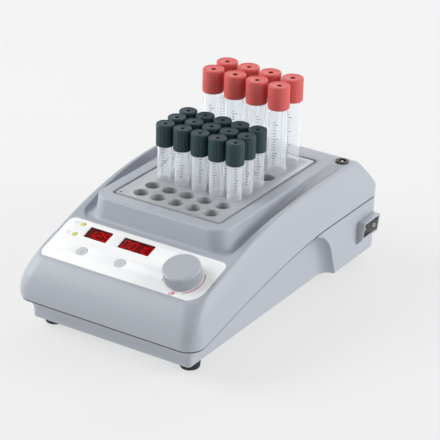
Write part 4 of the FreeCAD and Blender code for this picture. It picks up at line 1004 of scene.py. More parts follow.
    def build(self) -> Piece:
        """The cover as one closed shell with its panel window and its socket hole cut out.

        Returns:
            The cover, not yet dressed.
        """
        rings = self.walls()
        rings += self.valley(rings[-1])
        rings += self.raised_frame(rings[-1])
        grid = np.stack(rings)
        obj = mesh_piece("case_cover", CASE.place(grid), grid_faces(*grid.shape[:2], True), 40.0)
        window = rounded_rectangle(-self.window_half, self.window_half, *self.window_run, self.window_radii)
        x, setback = self.socket
        cuts = [prism("cutter", window, *self.window_cut, to_case=CASE.on_panel),
                rod_cutter(x, CASE.front + setback, self.socket_r,
                           *(CASE.deck_z + cut for cut in self.socket_cut))]
        return carve(thickened(obj, self.wall), cuts, 40.0)


@dataclass
class BaseShell:
    """The moulded base: a cove under the split line, sides cut in as far as the arches, full width behind.

    The arch is given by heights and setbacks from the case's front, the screws by half spacings and setbacks.
    """

    loop: Loop = field(default_factory=Loop)
    wall: float = 2.4
    cove: float = 10.0
    cove_height: float = 12.0
    bottom_round: float = 2.5
    groove_height: float = 0.75
    groove_depth: float = 0.45
    # painted shade in the groove under the cover's edge
    groove_painted_shade: float = 0.16
    blend: float = 12.0
    arch: tuple[Place, ...] = (
        (60.0, 176.0), (52.5, 194.0), (42.3, 206.0), (24.4, 213.8), (8.3, 219.4), (0.0, 222.0))
    arch_points: int = 16
    side_points: int = 60
    rear_side_points: int = 24
    drops: tuple[float, ...] = (1.5, 2.1, 2.7, 3.6, 4.7, 6.0, 7.5, 9.4, 12.0)
    switch_hole: tuple[Place, Place, Place] = ((70.0, 100.0), (110.1, 134.4), (28.4, 41.8))
    inlet: tuple[float, float, float, float] = (34.0, 33.0, 15.2, 14.2)
    vents: int = 9
    vent_pitch: float = 7.0
    vent_half: float = 1.5
    vent_run: Place = (93.0, 127.0)
    seat_r: float = 8.7
    seat_depth: float = 0.8
    screws: tuple[Place, ...] = ((69.0, 50.0), (60.0, 280.5))
    screw_r: float = 3.1

    def arch_y(self, z: float) -> float:
        """Y of the arch's outer edge at a height, from a smooth curve through its named points.

        Args:
            z: the height.

        Returns:
            The Y at that height.
        """
        heights, setbacks = (np.array(v) for v in zip(*self.arch[::-1]))
        fine = np.linspace(heights[0], heights[-1], 60)
        return CASE.front + float(np.interp(z, fine, np.polyval(np.polyfit(heights, setbacks, 4), fine)))

    def ring(self, height: Callable[[Points], Points], cut: float, trim: float = 0.0) -> Points:
        """One ring of the base's outer face.

        Args:
            height: height from Y.
            cut: how far the front and sides are cut in at this ring.
            trim: how far the whole ring is drawn in.

        Returns:
            The ring's points, with a quarter ellipse at each arch.
        """
        share = (CASE.widest_at / (1.0 - CASE.widest_at)) ** 2
        half = CASE.side - CASE.side_lean * share - trim
        front = CASE.front + CASE.front_lean * share + cut + trim
        rear = CASE.rear - trim
        rf, rr = max(CASE.front_r - cut - trim, 0.5), CASE.rear_r - trim
        outer_y = min(self.arch_y(float(height(np.array([60.0]))[0])), rear - rr - 8.0)
        inner_y = outer_y - self.blend * cut / self.cove - 0.02
        loop = self.loop
        across = loop.across_front()
        side = np.arange(self.side_points) / self.side_points
        behind = (np.arange(self.rear_side_points) + 0.5) / (self.rear_side_points + 0.5)
        back = np.linspace(0.0, 1.0, loop.rear)
        turn, arch, last = (a * math.pi / 2 for a in (
            np.arange(loop.front_corner) / loop.front_corner,
            np.arange(self.arch_points) / (self.arch_points - 1),
            np.arange(loop.rear_corner) / loop.rear_corner))
        xy = np.concatenate([np.stack([x + 0 * y, y + 0 * x], 1) for x, y in (
            ((half - cut - rf) * across, front),
            (half - cut - rf + rf * np.sin(turn), front + rf - rf * np.cos(turn)),
            (half - cut, front + rf + (inner_y - front - rf) * side),
            (half - cut * np.cos(arch), inner_y + (outer_y - inner_y) * np.sin(arch)),
            (half, outer_y + (rear - rr - outer_y) * behind),
            (half - rr + rr * np.cos(last), rear - rr + rr * np.sin(last)),
            ((half - rr) * (1.0 - back), rear))])
        return closed(np.column_stack([xy, height(xy[:, 1])]))

    def undercut(self, drop: float) -> float:
        """How far the cove is cut in at a drop below the split line: a parabola."""
        return self.cove * (1.0 - (1.0 - min(drop / self.cove_height, 1.0)) ** 2)

    def build(self) -> Piece:
        """The base as one closed shell with its openings cut out.

        Returns:
            The base, not yet dressed.
        """
        lip, tall = CASE.seam_gap / 2, self.groove_height
        groove = [(0.0, 0.0, self.groove_depth), (tall, 0.0, self.groove_depth)]
        groove += [(tall + max(more, 0.02), self.undercut(lip + tall + more), trim)
                   for more, trim in ((0.0, 0.2), (0.1, 0.05), (0.3, 0.0))]
        rings = [self.ring(lambda y, drop=drop: CASE.seam(y) - lip - drop, cut, trim)
                 for drop, cut, trim in groove]
        rings += [self.ring(lambda y, drop=drop: CASE.seam(y) - drop, self.undercut(drop))
                  for drop in self.drops]
        r = self.bottom_round
        for s in np.linspace(0.0, 1.0, 10)[1:]:
            rings.append(self.ring(
                lambda y, s=s: CASE.seam(y) - self.cove_height
                + s * (CASE.base_z + r - CASE.seam(y) + self.cove_height), self.cove))
        for a in np.radians((18, 36, 54, 72, 90)):
            rings.append(self.ring(lambda y, a=a: CASE.base_z + r * (1 - math.sin(a)) + 0 * y, self.cove,
                                   r * (1 - math.cos(a))))
        grid = np.stack(rings[::-1])
        quads = grid_faces(*grid.shape[:2], True).tolist()
        obj = mesh_piece("case_base", CASE.place(grid), quads + [list(range(grid.shape[1]))[::-1]], 40.0)
        # The groove under the cover's edge gets painted shade stored with the mesh.
        return paint(carve(thickened(obj, self.wall), self.openings(), 40.0), self.groove_shade)

    def groove_shade(self, points: Points) -> Points:
        """Painted shade that darkens the groove under the cover, where shade falls in the gap."""
        low = CASE.seam(points[:, 1]) - CASE.seam_gap / 2 - self.groove_height - 0.01
        return np.where(points[:, 2] > low, self.groove_painted_shade, 1.0)

    def openings(self) -> list[Piece]:
        """Cutters for the switch, the mains inlet, the vents, the feet's seats and the screw pockets.

        Returns:
            The cutters.
        """
        x, z, half_w, half_h = self.inlet
        bottom = CASE.base_z
        cuts = [box_cutter(*self.switch_hole),
                box_cutter((x - half_w, x + half_w), (CASE.rear - 8.0, CASE.rear + 8.0),
                           (z - half_h, z + half_h))]
        start, end = (CASE.front + y for y in self.vent_run)
        for i in range(self.vents):
            x = (i - (self.vents - 1) / 2) * self.vent_pitch
            slot = rounded_rectangle(x - self.vent_half, x + self.vent_half, start, end,
                                     (self.vent_half - 0.01,) * 4)
            cuts.append(prism("cutter", slot, bottom - 3.0, bottom + 6.0))
        cuts += [rod_cutter(x, y, self.seat_r, bottom - 3.0, bottom + self.seat_depth)
                 for x, y in CASE.foot_places()]
        return cuts + [rod_cutter(side * x, CASE.front + y, self.screw_r, bottom - 3.0, bottom + 5.0)
                       for x, y in self.screws for side in (-1, 1)]


# The heating block, its tubes and caps

@dataclass(frozen=True)
class Grid:
    """Places of the block's holes, counted from the front."""

    x: float = 1.5
    small_pitch: float = 17.0
    small_columns: int = 5
    small_rows: int = 6
    first_row: float = 101.3
    large_pitch: float = 21.5
    large_columns: int = 4
    last_row: float = 225.5
    small_r: float = 6.6
    large_r: float = 8.4
    depth: float = 32.0

    def small(self, rows: Sequence[int]) -> list[Place]:
        """X, Y of the small holes of the given rows.

        Args:
            rows: numbers of the rows, from 1.

        Returns:
            A place for each hole.
        """
        first = self.x - (self.small_columns - 1) / 2 * self.small_pitch
        return [(first + i * self.small_pitch, CASE.front + self.first_row + (row - 1) * self.small_pitch)
                for row in rows for i in range(self.small_columns)]

    def large(self, rows: Sequence[int]) -> list[Place]:
        """X, Y of the large holes of the given rows, the second of which is at the back.

        Args:
            rows: numbers of the rows, 1 or 2.

        Returns:
            A place for each hole.
        """
        first = self.x - (self.large_columns - 1) / 2 * self.large_pitch
        return [(first + i * self.large_pitch, CASE.front + self.last_row - (2 - row) * self.large_pitch)
                for row in rows for i in range(self.large_columns)]

    @property
    def holes(self) -> tuple[tuple[list[Place], float, int], ...]:
        """Places, radius and steps round of the small holes, then of the large ones."""
        return ((self.small(range(1, self.small_rows + 1)), self.small_r, 64),
                (self.large((1, 2)), self.large_r, 72))


GRID = Grid()


def nearest(points: Points, places: Sequence[Place]) -> Points:
    """Distance in plan from each point to the nearest of several axes."""
    return np.linalg.norm(points[:, None, :2] - np.array(places)[None], axis=2).min(axis=1)


@dataclass
class HeatingBlock:
    """The aluminium block with its drilled holes."""

    half: float = 50.4
    start: float = 89.5
    end: float = 239.5
    corner_r: float = 2.0
    height: float = 42.0
    edge: float = 0.5
    probe: tuple[float, float, float] = (-47.0, 92.9, 1.3)
    # painted shade on the holes' walls: near the rim, then deeper down
    rim_painted_shade: float = 0.66
    rim_depth: float = 2.0
    floor_painted_shade: float = 0.34

    def build(self) -> Piece:
        """The block with its holes cut and its edges eased.

        Returns:
            The block, not yet dressed.
        """
        top, low = CASE.deck_z, CASE.deck_z - self.height
        outline = rounded_rectangle(-self.half, self.half, CASE.front + self.start, CASE.front + self.end,
                                    (self.corner_r,) * 4)
        x, setback, r = self.probe
        holes = [circle(*place, hole_r, steps) for places, hole_r, steps in GRID.holes for place in places]
        holes.append(circle(x, CASE.front + setback, r, 32))
        upper = prism("block", outline, top - GRID.depth, top, holes)
        lower = prism("block_lower", outline, low, top - GRID.depth)
        # The walls of the holes get painted shade stored with the mesh.
        return paint(bevelled(joined("block", [upper, lower]), self.edge, 2, 60.0), self.hole_painted_shade)

    def hole_painted_shade(self, points: Points) -> Points:
        """Painted shade on the walls of the holes, lighter near the rim and darker deeper down, where shade
        falls.

        Args:
            points: X, Y, Z of each point.

        Returns:
            The painted shade of each point.
        """
        near = np.any([nearest(points, places) < r + 0.1 for places, r, _ in GRID.holes], axis=0)
        z = points[:, 2]
        tone = np.where(z > CASE.deck_z - self.rim_depth, self.rim_painted_shade, self.floor_painted_shade)
        return np.where(near & (z < CASE.deck_z - self.edge / 2), tone, 1.0)


@dataclass(frozen=True)
class TubeKind:
    """One size of capped tube."""

    r: float
    length: float
    wall: float
    cap_r: float
    cap_height: float
    cap_rise: float
    ribs: int
    rib_depth: float
    plain_top: float
    dimple_r: float
    dimple_depth: float = 2.3
    # painted shade in each cap's dimple: at its bottom, and near its rim
    dimple_painted_shade: float = 0.06
    dimple_rim_painted_shade: float = 0.45
    seat: float = 0.3
    rim: float = 1.0
    shoulder: float = 1.2
    skirt: float = 0.9
    rib_run: Place = (2.4, 3.6)
    rib_fade: float = 1.6

    @property
    def low(self) -> float:
        """Height of the glass's lowest point."""
        return CASE.deck_z - GRID.depth + self.seat

    @property
    def top(self) -> float:
        """Height of the cap's top."""
        return self.low + self.length + self.cap_rise

    def glass(self) -> Points:
        """A round-bottomed tube with a fire-polished rim.

        Returns:
            A grid of points about Z.
        """
        r, low, high = self.r, self.low, self.low + self.length
        inner, straight = r - self.wall, self.length - self.rim - r
        profile = [(0.02, low)] + arc_profile(0.0, low + r, r, -86, 0, 12)
        profile += [(r, low + r + straight * share) for share in (0.35, 0.7, 1.0)]
        profile += arc_profile((r + inner) / 2, high - self.wall / 2, self.wall / 2, 0, 180, 7)
        profile += [(inner, high - self.rim - straight * share) for share in (0.4, 1.0)]
        profile += arc_profile(0.0, low + r, inner, 0, -86, 10) + [(0.02, low + self.wall)]
        return lathe(profile, 48)

    def cap(self) -> Points:
        """A push-on cap: ribbed skirt, rounded shoulder, raised ring and a dimple in the top.

        Returns:
            A grid of points about Z.
        """
        r, top, hole = self.cap_r, self.top, self.dimple_r
        low, rib_top = top - self.cap_height, top - self.plain_top
        inner, glass_top = self.r + 0.1, self.low + self.length + 0.1
        rib_start, rib_full = self.rib_run
        profile = [(0.02, top - self.dimple_depth), (hole - 0.3, top - self.dimple_depth),
                   (hole, top - self.dimple_depth + 0.3), (hole, top - 1.1)]
        profile += arc_profile(hole + 0.4, top - 1.1, 0.4, 180, 90, 4)
        profile += [(hole + 1.0, top - 0.62), (r - 2.1, top - 0.4)]
        profile += arc_profile(r - 1.5, top - 0.65, 0.65, 120, 60, 4)
        profile += arc_profile(r - self.shoulder, top - 1.3, self.shoulder, 55, 0, 5)
        profile += [(r, rib_top), (r, rib_top - self.rib_fade), (r, low + rib_full), (r, low + rib_start)]
        profile += arc_profile(r - self.skirt, low + self.skirt, self.skirt, 20, -80, 6)
        profile += [(inner, low), (inner, glass_top), (0.02, glass_top)]

        def ribbed(angle: Points, radius: Points, z: Points) -> Points:
            """The radius between the ribs, which fade out at both ends of the skirt.

            Args:
                angle: angle of each point.
                radius: radius of each point.
                z: height of each point.

            Returns:
                The new radius of each point.
            """
            reach = np.clip((z - low - rib_start) / (rib_full - rib_start), 0, 1)
            reach = reach * np.clip((rib_top - z) / self.rib_fade, 0, 1)
            rib = np.clip(np.abs(np.cos(angle * self.ribs / 2)) * 1.5 - 0.3, 0.0, 1.0)
            deep = np.where(radius > r - 0.7, self.rib_depth, 0.0)
            return radius - deep * reach * (1.0 - rib)

        return lathe(profile, self.ribs * 10, ribbed)

    def dimple_shade(self, places: Sequence[Place]) -> Callable[[Points], Points]:
        """Painted shade that darkens the hole in each cap's top.

        Args:
            places: X, Y of each cap's axis.

        Returns:
            A function that gives the tone from points.
        """

        def shade(points: Points) -> Points:
            """The painted shade of each point: darkest at the bottom of the hole.

            Args:
                points: X, Y, Z of each point.

            Returns:
                The tones.
            """
            z = points[:, 2]
            inside = (nearest(points, places) < self.dimple_r + 0.05) & (z > self.top - self.cap_height / 2)
            tone = np.where(z < self.top - self.shoulder, self.dimple_painted_shade, self.dimple_rim_painted_shade)
            return np.where(inside, tone, 1.0)

        return shade


SMALL_TUBE = TubeKind(r=6.3, length=75.0, wall=1.1, cap_r=7.7, cap_height=19.5, cap_rise=6.7, ribs=16,
                      rib_depth=0.26, plain_top=3.0, dimple_r=1.7)
LARGE_TUBE = TubeKind(r=8.0, length=100.0, wall=1.1, cap_r=9.2, cap_height=20.5, cap_rise=8.5, ribs=28,
                      rib_depth=0.22, plain_top=8.2, dimple_r=2.1)


@dataclass
class TubeRow:
    """One row of tubes with their caps, which rides on its own body."""

    kind: TubeKind
    places: list[Place]
    glass_node: str
    cap_node: str
    body: str

    def build(self, finishes: "Finishes", cap_slot: str) -> None:
        """Makes both pieces of the row.

        Args:
            finishes: the materials.
            cap_slot: the caps' slot in the record.
        """
        points, quads = repeated(self.kind.glass(), self.places)
        tubes = mesh_piece(self.glass_node + "_visual", CASE.place(points), quads, 50.0)
        scale_map(tubes, self.places, self.kind.low)
        settle(tubes, finishes.of("tube_glass"), self.body, "tube_glass", (self.glass_node,))
        points, quads = repeated(self.kind.cap(), self.places)
        caps = mesh_piece(self.cap_node + "_visual", CASE.place(points), quads, 38.0)
        # Painted shade darkens the dimple in each cap's top.
        paint(caps, self.kind.dimple_shade(self.places))
        settle(caps, finishes.of(cap_slot), self.body, cap_slot, (self.cap_node,))


def joined(name: str, parts: Sequence[Piece]) -> Piece:
    """Puts several meshes into one object, in which points that meet become one.

    Args:
        name: the new piece's name.
        parts: the objects, which are removed.

    Returns:
        The joined object.
    """
    bm = bmesh.new()
    for part in parts:
        bm.from_mesh(part.data)
    mesh = bpy.data.meshes.new(name)
    bm.to_mesh(mesh)
    bm.free()
    for part in parts:
        bpy.data.objects.remove(part)
    return tidy(linked(name, mesh), 35.0)


# Finishes

class NodeGroup(Enum):
    """Shader node groups that several finishes share."""

    GRAIN = "surface_grain"
    SMUDGE = "surface_smudge"
    BRUSHED = "brushed_lines"


@dataclass(frozen=True)
class Finish:
    """How an opaque material looks: its colour in linear values and its surface."""

    color: tuple[float, float, float]
    roughness: float
    metallic: float = 0.0
    coat: float = 0.0
    grain: float = 0.0
    grain_scale: float = 900.0
    smudge: float = 0.05
    tone: float = 0.04
    specular: float = 0.5
    emission: float = 0.0


@dataclass(frozen=True)
class ClearFinish(Finish):
    """How glass or clear plastic looks: how much light goes through, and how far it is bent."""

    clear: float = 1.0
    bend: float = 1.45
    printed: bool = False


def srgb(r: float, g: float, b: float) -> tuple[float, float, float]:
    """Linear colour from the 0 to 255 values of a picture."""
    return tuple(v / 255 / 12.92 if v <= 10.3 else ((v / 255 + 0.055) / 1.055) ** 2.4 for v in (r, g, b))


def feed(tree: Nodes, value: Value, socket: Socket) -> None:
    """Sets a node's input to a plain number, or links another node's output to it.

    Args:
        tree: the nodes.
        value: a number or an output.
        socket: the input.
    """
    if isinstance(value, (int, float)):
        socket.default_value = value
    else:
        tree.links.new(value, socket)


def value_math(tree: Nodes, kind: str, a: Value, b: Value | None = None) -> Socket:
    """Adds a math node.

    Args:
        tree: the nodes.
        kind: what it works out.
        a: its first input.
        b: its second input, where it has one.

    Returns:
        The node's output.
    """
    node = tree.nodes.new("ShaderNodeMath")
    node.operation = kind
    for slot, value in enumerate((a, b)):
        if value is not None:
            feed(tree, value, node.inputs[slot])
    return node.outputs[0]


def scaled(tree: Nodes, color: Sequence[float], factor: Socket) -> Socket:
    """Adds a node that multiplies a colour by a factor.

    Args:
        tree: the nodes to add to.
        color: the colour.
        factor: what it is multiplied by.

    Returns:
        The product.
    """
    node = tree.nodes.new("ShaderNodeVectorMath")
    node.operation = "SCALE"
    node.inputs[0].default_value = color
    tree.links.new(factor, node.inputs["Scale"])
    return node.outputs[0]


def placed(tree: Nodes, group: Nodes, **values: float) -> bpy.types.ShaderNode:
    """Adds a shared group to a material, with the material's own values.

    Args:
        tree: the nodes to add to.
        group: the shared group.
        values: number of each input, by its name.

    Returns:
        The new node.
    """
    node = tree.nodes.new("ShaderNodeGroup")
    node.node_tree = group
    for label, value in values.items():
        node.inputs[label].default_value = value
    return node


def new_group(kind: NodeGroup, scale: float, amount: float, outputs: Sequence[str],
              ) -> tuple[Nodes, bpy.types.Node, bpy.types.Node, Socket]:
    """An empty node group whose inputs and outputs are all values.

    Args:
        kind: which group it is.
        scale: the usual value of its input Scale.
        amount: the usual value of its input Amount.
        outputs: the names of its outputs.

    Returns:
        The group, its two end nodes and the piece's own coordinates.
    """
    tree = bpy.data.node_groups.new(kind.value, "ShaderNodeTree")
    for label, value in (("Scale", scale), ("Amount", amount)):
        tree.interface.new_socket(label, in_out="INPUT", socket_type="NodeSocketFloat").default_value = value
    for label in outputs:
        tree.interface.new_socket(label, in_out="OUTPUT", socket_type="NodeSocketFloat")
    ends = (tree.nodes.new(f"NodeGroup{end}") for end in ("Input", "Output"))
    return tree, *ends, tree.nodes.new("ShaderNodeTexCoord").outputs["Object"]


def noise(tree: Nodes, vector: Socket, scale: Value, detail: float) -> Socket:
    """Adds a noise texture.

    Args:
        tree: the nodes to add to.
        vector: where it is read.
        scale: how fine it is.
        detail: how many finer layers it has.

    Returns:
        Its value.
    """
    node = tree.nodes.new("ShaderNodeTexNoise")
    node.inputs["Detail"].default_value = detail
    tree.links.new(vector, node.inputs["Vector"])
    feed(tree, scale, node.inputs["Scale"])
    return node.outputs["Fac"]


def grain_group() -> Nodes:
    """The fine texture of a moulded or blasted surface, as a height.

    Returns:
        The group.
    """
    tree, start, end, where = new_group(NodeGroup.GRAIN, 900.0, 1.0, ("Height",))
    fine = noise(tree, where, start.outputs["Scale"], 2.0)
    coarse = noise(tree, where, value_math(tree, "MULTIPLY", start.outputs["Scale"], 0.31), 1.0)
    both = value_math(tree, "ADD", fine, value_math(tree, "MULTIPLY", coarse, 0.5))
    tree.links.new(value_math(tree, "MULTIPLY", both, start.outputs["Amount"]), end.inputs["Height"])
    return tree


def smudge_group() -> Nodes:
    """Faint handling marks, as a shift of roughness and a shift of tone, both about zero.

    Returns:
        The group.
    """
    tree, start, end, where = new_group(NodeGroup.SMUDGE, 24.0, 0.05, ("Rough", "Tone"))
    small = noise(tree, where, start.outputs["Scale"], 4.0)
    broad = noise(tree, where, value_math(tree, "MULTIPLY", start.outputs["Scale"], 0.27), 2.0)
    for label, marks in (("Rough", small), ("Tone", broad)):
        shift = value_math(tree, "SUBTRACT", marks, 0.5)
        tree.links.new(value_math(tree, "MULTIPLY", shift, start.outputs["Amount"]), end.inputs[label])
    return tree


def brushed_group() -> Nodes:
    """Fine parallel lines along Y, as a height.

    Returns:
        The group.
    """
    tree, start, end, where = new_group(NodeGroup.BRUSHED, 1.0, 1.0, ("Height",))
    stretch = tree.nodes.new("ShaderNodeMapping")
    stretch.inputs["Scale"].default_value = (2600.0, 70.0, 2600.0)
    tree.links.new(where, stretch.inputs["Vector"])
    lines = noise(tree, stretch.outputs["Vector"], start.outputs["Scale"], 3.0)
    tree.links.new(value_math(tree, "MULTIPLY", lines, start.outputs["Amount"]), end.inputs["Height"])
    return tree


class Finishes:
    """Makes each material once and keeps it by name."""

    def __init__(self) -> None:
        """Builds the shared groups."""
        self.grain = grain_group()
        self.smudge = smudge_group()
        self.brushed = brushed_group()
        self.made: dict[str, Material] = {}

    def begun(self, name: str) -> tuple[Nodes, bpy.types.ShaderNode]:
        """Starts a material and keeps it by its name; gives its nodes and its shader.

        Args:
            name: the material's name.

        Returns:
            Its nodes and its shader.
        """
        self.made[name] = bpy.data.materials.new(name)
        self.made[name].use_nodes = True
        tree = self.made[name].node_tree
        return tree, tree.nodes["Principled BSDF"]

    def opaque(self, name: str, finish: Finish, brushed: bool = False,
               shaded: bool = False) -> Material:
        """A plastic, rubber or metal material.

        Args:
            name: the material's name.
            finish: its colour and surface.
            brushed: whether its fine texture runs in lines.
            shaded: whether the piece stores its own painted shade, which darkens the colour.

        Returns:
            The material, made on its first use.
        """
        if name in self.made:
            return self.made[name]
        tree, shader = self.begun(name)
        shader.inputs["Metallic"].default_value = finish.metallic
        shader.inputs["Coat Weight"].default_value = finish.coat
        shader.inputs["Coat Roughness"].default_value = 0.12
        shader.inputs["Specular IOR Level"].default_value = finish.specular
        marks = placed(tree, self.smudge, Amount=1.0)
        rough = value_math(tree, "MULTIPLY", marks.outputs["Rough"], finish.smudge * 2)
        tree.links.new(value_math(tree, "ADD", rough, finish.roughness), shader.inputs["Roughness"])
        tone = value_math(tree, "MULTIPLY", marks.outputs["Tone"], finish.tone * 2)
        tone = value_math(tree, "ADD", tone, 1.0)
        # Painted shade stored with the mesh darkens the colour where shade falls.
        if shaded:
            own = tree.nodes.new("ShaderNodeAttribute")
            own.attribute_name = SHADE
            tone = value_math(tree, "MULTIPLY", tone, own.outputs["Fac"])
        color = scaled(tree, finish.color, tone)
        tree.links.new(color, shader.inputs["Base Color"])
        if finish.emission:
            tree.links.new(color, shader.inputs["Emission Color"])
            shader.inputs["Emission Strength"].default_value = finish.emission
        if finish.grain:
            texture = placed(tree, self.brushed if brushed else self.grain, Amount=finish.grain,
                             Scale=1.0 if brushed else finish.grain_scale)
            bump = tree.nodes.new("ShaderNodeBump")
            bump.inputs["Strength"].default_value = 0.5
            bump.inputs["Distance"].default_value = 0.0001
            tree.links.new(texture.outputs["Height"], bump.inputs["Height"])
            tree.links.new(bump.outputs["Normal"], shader.inputs["Normal"])
        return self.made[name]

    def glass(self, name: str, finish: ClearFinish) -> Material:
        """Clear or tinted glass or plastic, which may carry a printed scale.

        Args:
            name: the material's name.
            finish: its colour and surface.

        Returns:
            The material, made on its first use.
        """
        if name in self.made:
            return self.made[name]
        tree, shader = self.begun(name)
        shader.inputs["Transmission Weight"].default_value = finish.clear
        shader.inputs["IOR"].default_value = finish.bend
        # Emission on glass is painted light that makes it look brighter.
        shader.inputs["Emission Strength"].default_value = finish.emission
        marks = placed(tree, self.smudge, Scale=60.0, Amount=0.03)
        rough = value_math(tree, "ADD", marks.outputs["Rough"], finish.roughness)
        tone = value_math(tree, "ADD", marks.outputs["Tone"], 1.0)
        if finish.printed:
            tone = value_math(tree, "MULTIPLY", tone, self.bare_of_scale(tree))
        color = scaled(tree, finish.color, tone)
        for value, label in ((rough, "Roughness"), (color, "Base Color"), (color, "Emission Color")):
            tree.links.new(value, shader.inputs[label])
        return self.made[name]

    def of(self, slot: str) -> Material:
        """The material of one of the record's slots, or of a printed mark.

        Args:
            slot: the slot's or the mark's name.

        Returns:
            The material.
        """
        if slot in CLEAR:
            return self.glass(slot, CLEAR[slot])
        finish = (MATTE | METAL | INK)[slot]
        return self.opaque(slot, finish, brushed=slot in METAL, shaded=slot.startswith("cap_"))

    def bare_of_scale(self, tree: Nodes) -> Socket:
        """A factor that is low on the lines of a tube's printed scale and one beside them.

        Args:
            tree: the nodes to add to.

        Returns:
            The factor.
        """
        place = tree.nodes.new("ShaderNodeSeparateXYZ")
        tree.links.new(tree.nodes.new("ShaderNodeTexCoord").outputs["UV"], place.inputs[0])
        turn, height = place.outputs["X"], place.outputs["Y"]
        side = value_math(tree, "SUBTRACT", turn, SCALE.turn)
        band = value_math(tree, "MULTIPLY", value_math(tree, "GREATER_THAN", height, SCALE.low),
                          value_math(tree, "LESS_THAN", height, SCALE.high))
        marked = None
        for pitch, reach in SCALE.lines:
            step = value_math(tree, "FRACT", value_math(tree, "DIVIDE", height, pitch))
            line = value_math(tree, "LESS_THAN", step, SCALE.thick / pitch)
            near = value_math(tree, "MULTIPLY", value_math(tree, "GREATER_THAN", side, 0.0),
                              value_math(tree, "LESS_THAN", side, reach))
            drawn = value_math(tree, "MULTIPLY", line, near)
            marked = drawn if marked is None else value_math(tree, "MAXIMUM", marked, drawn)
        ink = value_math(tree, "MULTIPLY", value_math(tree, "MULTIPLY", marked, band), SCALE.ink)
        return value_math(tree, "SUBTRACT", 1.0, ink)


MATTE = {
    "housing": Finish(srgb(173, 178, 187), 0.42, grain=0.16, grain_scale=1500.0, smudge=0.05, tone=0.02),
    "overlay": Finish(srgb(248, 249, 250), 0.34, grain=0.05, grain_scale=2500.0, smudge=0.04, tone=0.015),
    # The display's face glows a little all over: painted light, as only its digits are lit.
    "display": Finish((0.125, 0.007, 0.012), 0.40, tone=0.10, emission=0.75),
    "circuit_board": Finish(srgb(30, 108, 66), 0.35, coat=0.4, tone=0.08),
    "black_plastic": Finish(srgb(40, 41, 44), 0.42, grain=0.14, grain_scale=1400.0, tone=0.06),
    "rocker_black": Finish(srgb(38, 39, 43), 0.24, coat=0.25, grain=0.03, smudge=0.08, tone=0.05),
    "key_film": Finish(srgb(206, 209, 212), 0.40, grain=0.05, grain_scale=2500.0, tone=0.02),
    "knob_plastic": Finish(srgb(176, 181, 189), 0.36, grain=0.06, grain_scale=1800.0, tone=0.02),
    "rim_plastic": Finish(srgb(150, 156, 164), 0.42, grain=0.08, tone=0.03),
    "heater_rubber": Finish(srgb(196, 106, 60), 0.62, grain=0.12, tone=0.06),
    "pad_fibre": Finish(srgb(226, 220, 204), 0.92, grain=0.9, grain_scale=420.0, tone=0.12),
    "cap_dark": Finish(srgb(43, 65, 69), 0.48, grain=0.05, smudge=0.07, tone=0.06, specular=0.3),
    "cap_red": Finish(srgb(212, 94, 90), 0.46, grain=0.05, smudge=0.07, tone=0.05, specular=0.35),
    "foot_rubber": Finish(srgb(30, 34, 40), 0.72, grain=0.22, grain_scale=1100.0, tone=0.08),
    "relay_case": Finish(srgb(44, 84, 158), 0.34, grain=0.05, tone=0.04),
    "terminal_green": Finish(srgb(58, 142, 84), 0.42, grain=0.06, tone=0.05),
    "lamp": Finish(srgb(200, 206, 62), 0.24, coat=0.5, tone=0.03, emission=0.22),
}
METAL = {
    "block_aluminium": Finish(srgb(188, 191, 195), 0.50, metallic=0.40, grain=0.05, smudge=0.06, tone=0.03),
    "well_aluminium": Finish(srgb(206, 208, 211), 0.40, metallic=1.0, grain=0.10, tone=0.05),
    "screw_steel": Finish(srgb(200, 201, 204), 0.32, metallic=1.0, grain=0.08, tone=0.05),
    "sheet_steel": Finish(srgb(196, 197, 199), 0.36, metallic=1.0, grain=0.08, tone=0.05),
    "contact_brass": Finish(srgb(182, 164, 124), 0.34, metallic=1.0, grain=0.05, tone=0.05),
}
CLEAR = {
    "window_red": ClearFinish(srgb(236, 70, 84), 0.04, bend=1.25),
    # The fuse's and tubes' glass glow faintly: painted light that brightens them.
    "fuse_glass": ClearFinish(srgb(246, 248, 250), 0.04, emission=0.055, clear=0.88, bend=1.16),
    "tube_glass": ClearFinish(srgb(246, 248, 250), 0.04, emission=0.055, clear=0.88, bend=1.16, printed=True),
}
"""Finish of each material slot of the record."""

INK = {
    "ink_red": Finish(srgb(214, 50, 88), 0.4, tone=0.03),
    "ink_grey": Finish(srgb(176, 179, 184), 0.4, tone=0.03),
    "ink_white": Finish(srgb(214, 216, 218), 0.45, tone=0.03),
    "digit_red": Finish(srgb(236, 46, 60), 0.4, tone=0.03, emission=0.5),
}
"""Finish of each printed or lit mark."""


# The control panel

def ribbon(points: Points, width: float) -> Points:
    """Outline of a line of constant width that follows points in the plane.

    Args:
        points: X, Y along the line.
        width: the line's width.

    Returns:
        The closed outline.
    """
    points = np.asarray(points, float)
    run = np.gradient(points, axis=0)
    normal = np.stack([-run[:, 1], run[:, 0]], 1) / np.linalg.norm(run, axis=1)[:, None]
    return np.concatenate([points + normal * width / 2, (points - normal * width / 2)[::-1]])


def arc_line(x: float, y: float, r: float, start: float, end: float, steps: int = 40) -> Points:
    """Points along a circle between two angles in degrees."""
    a = np.radians(np.linspace(start, end, steps))
    return np.stack([x + r * np.cos(a), y + r * np.sin(a)], 1)


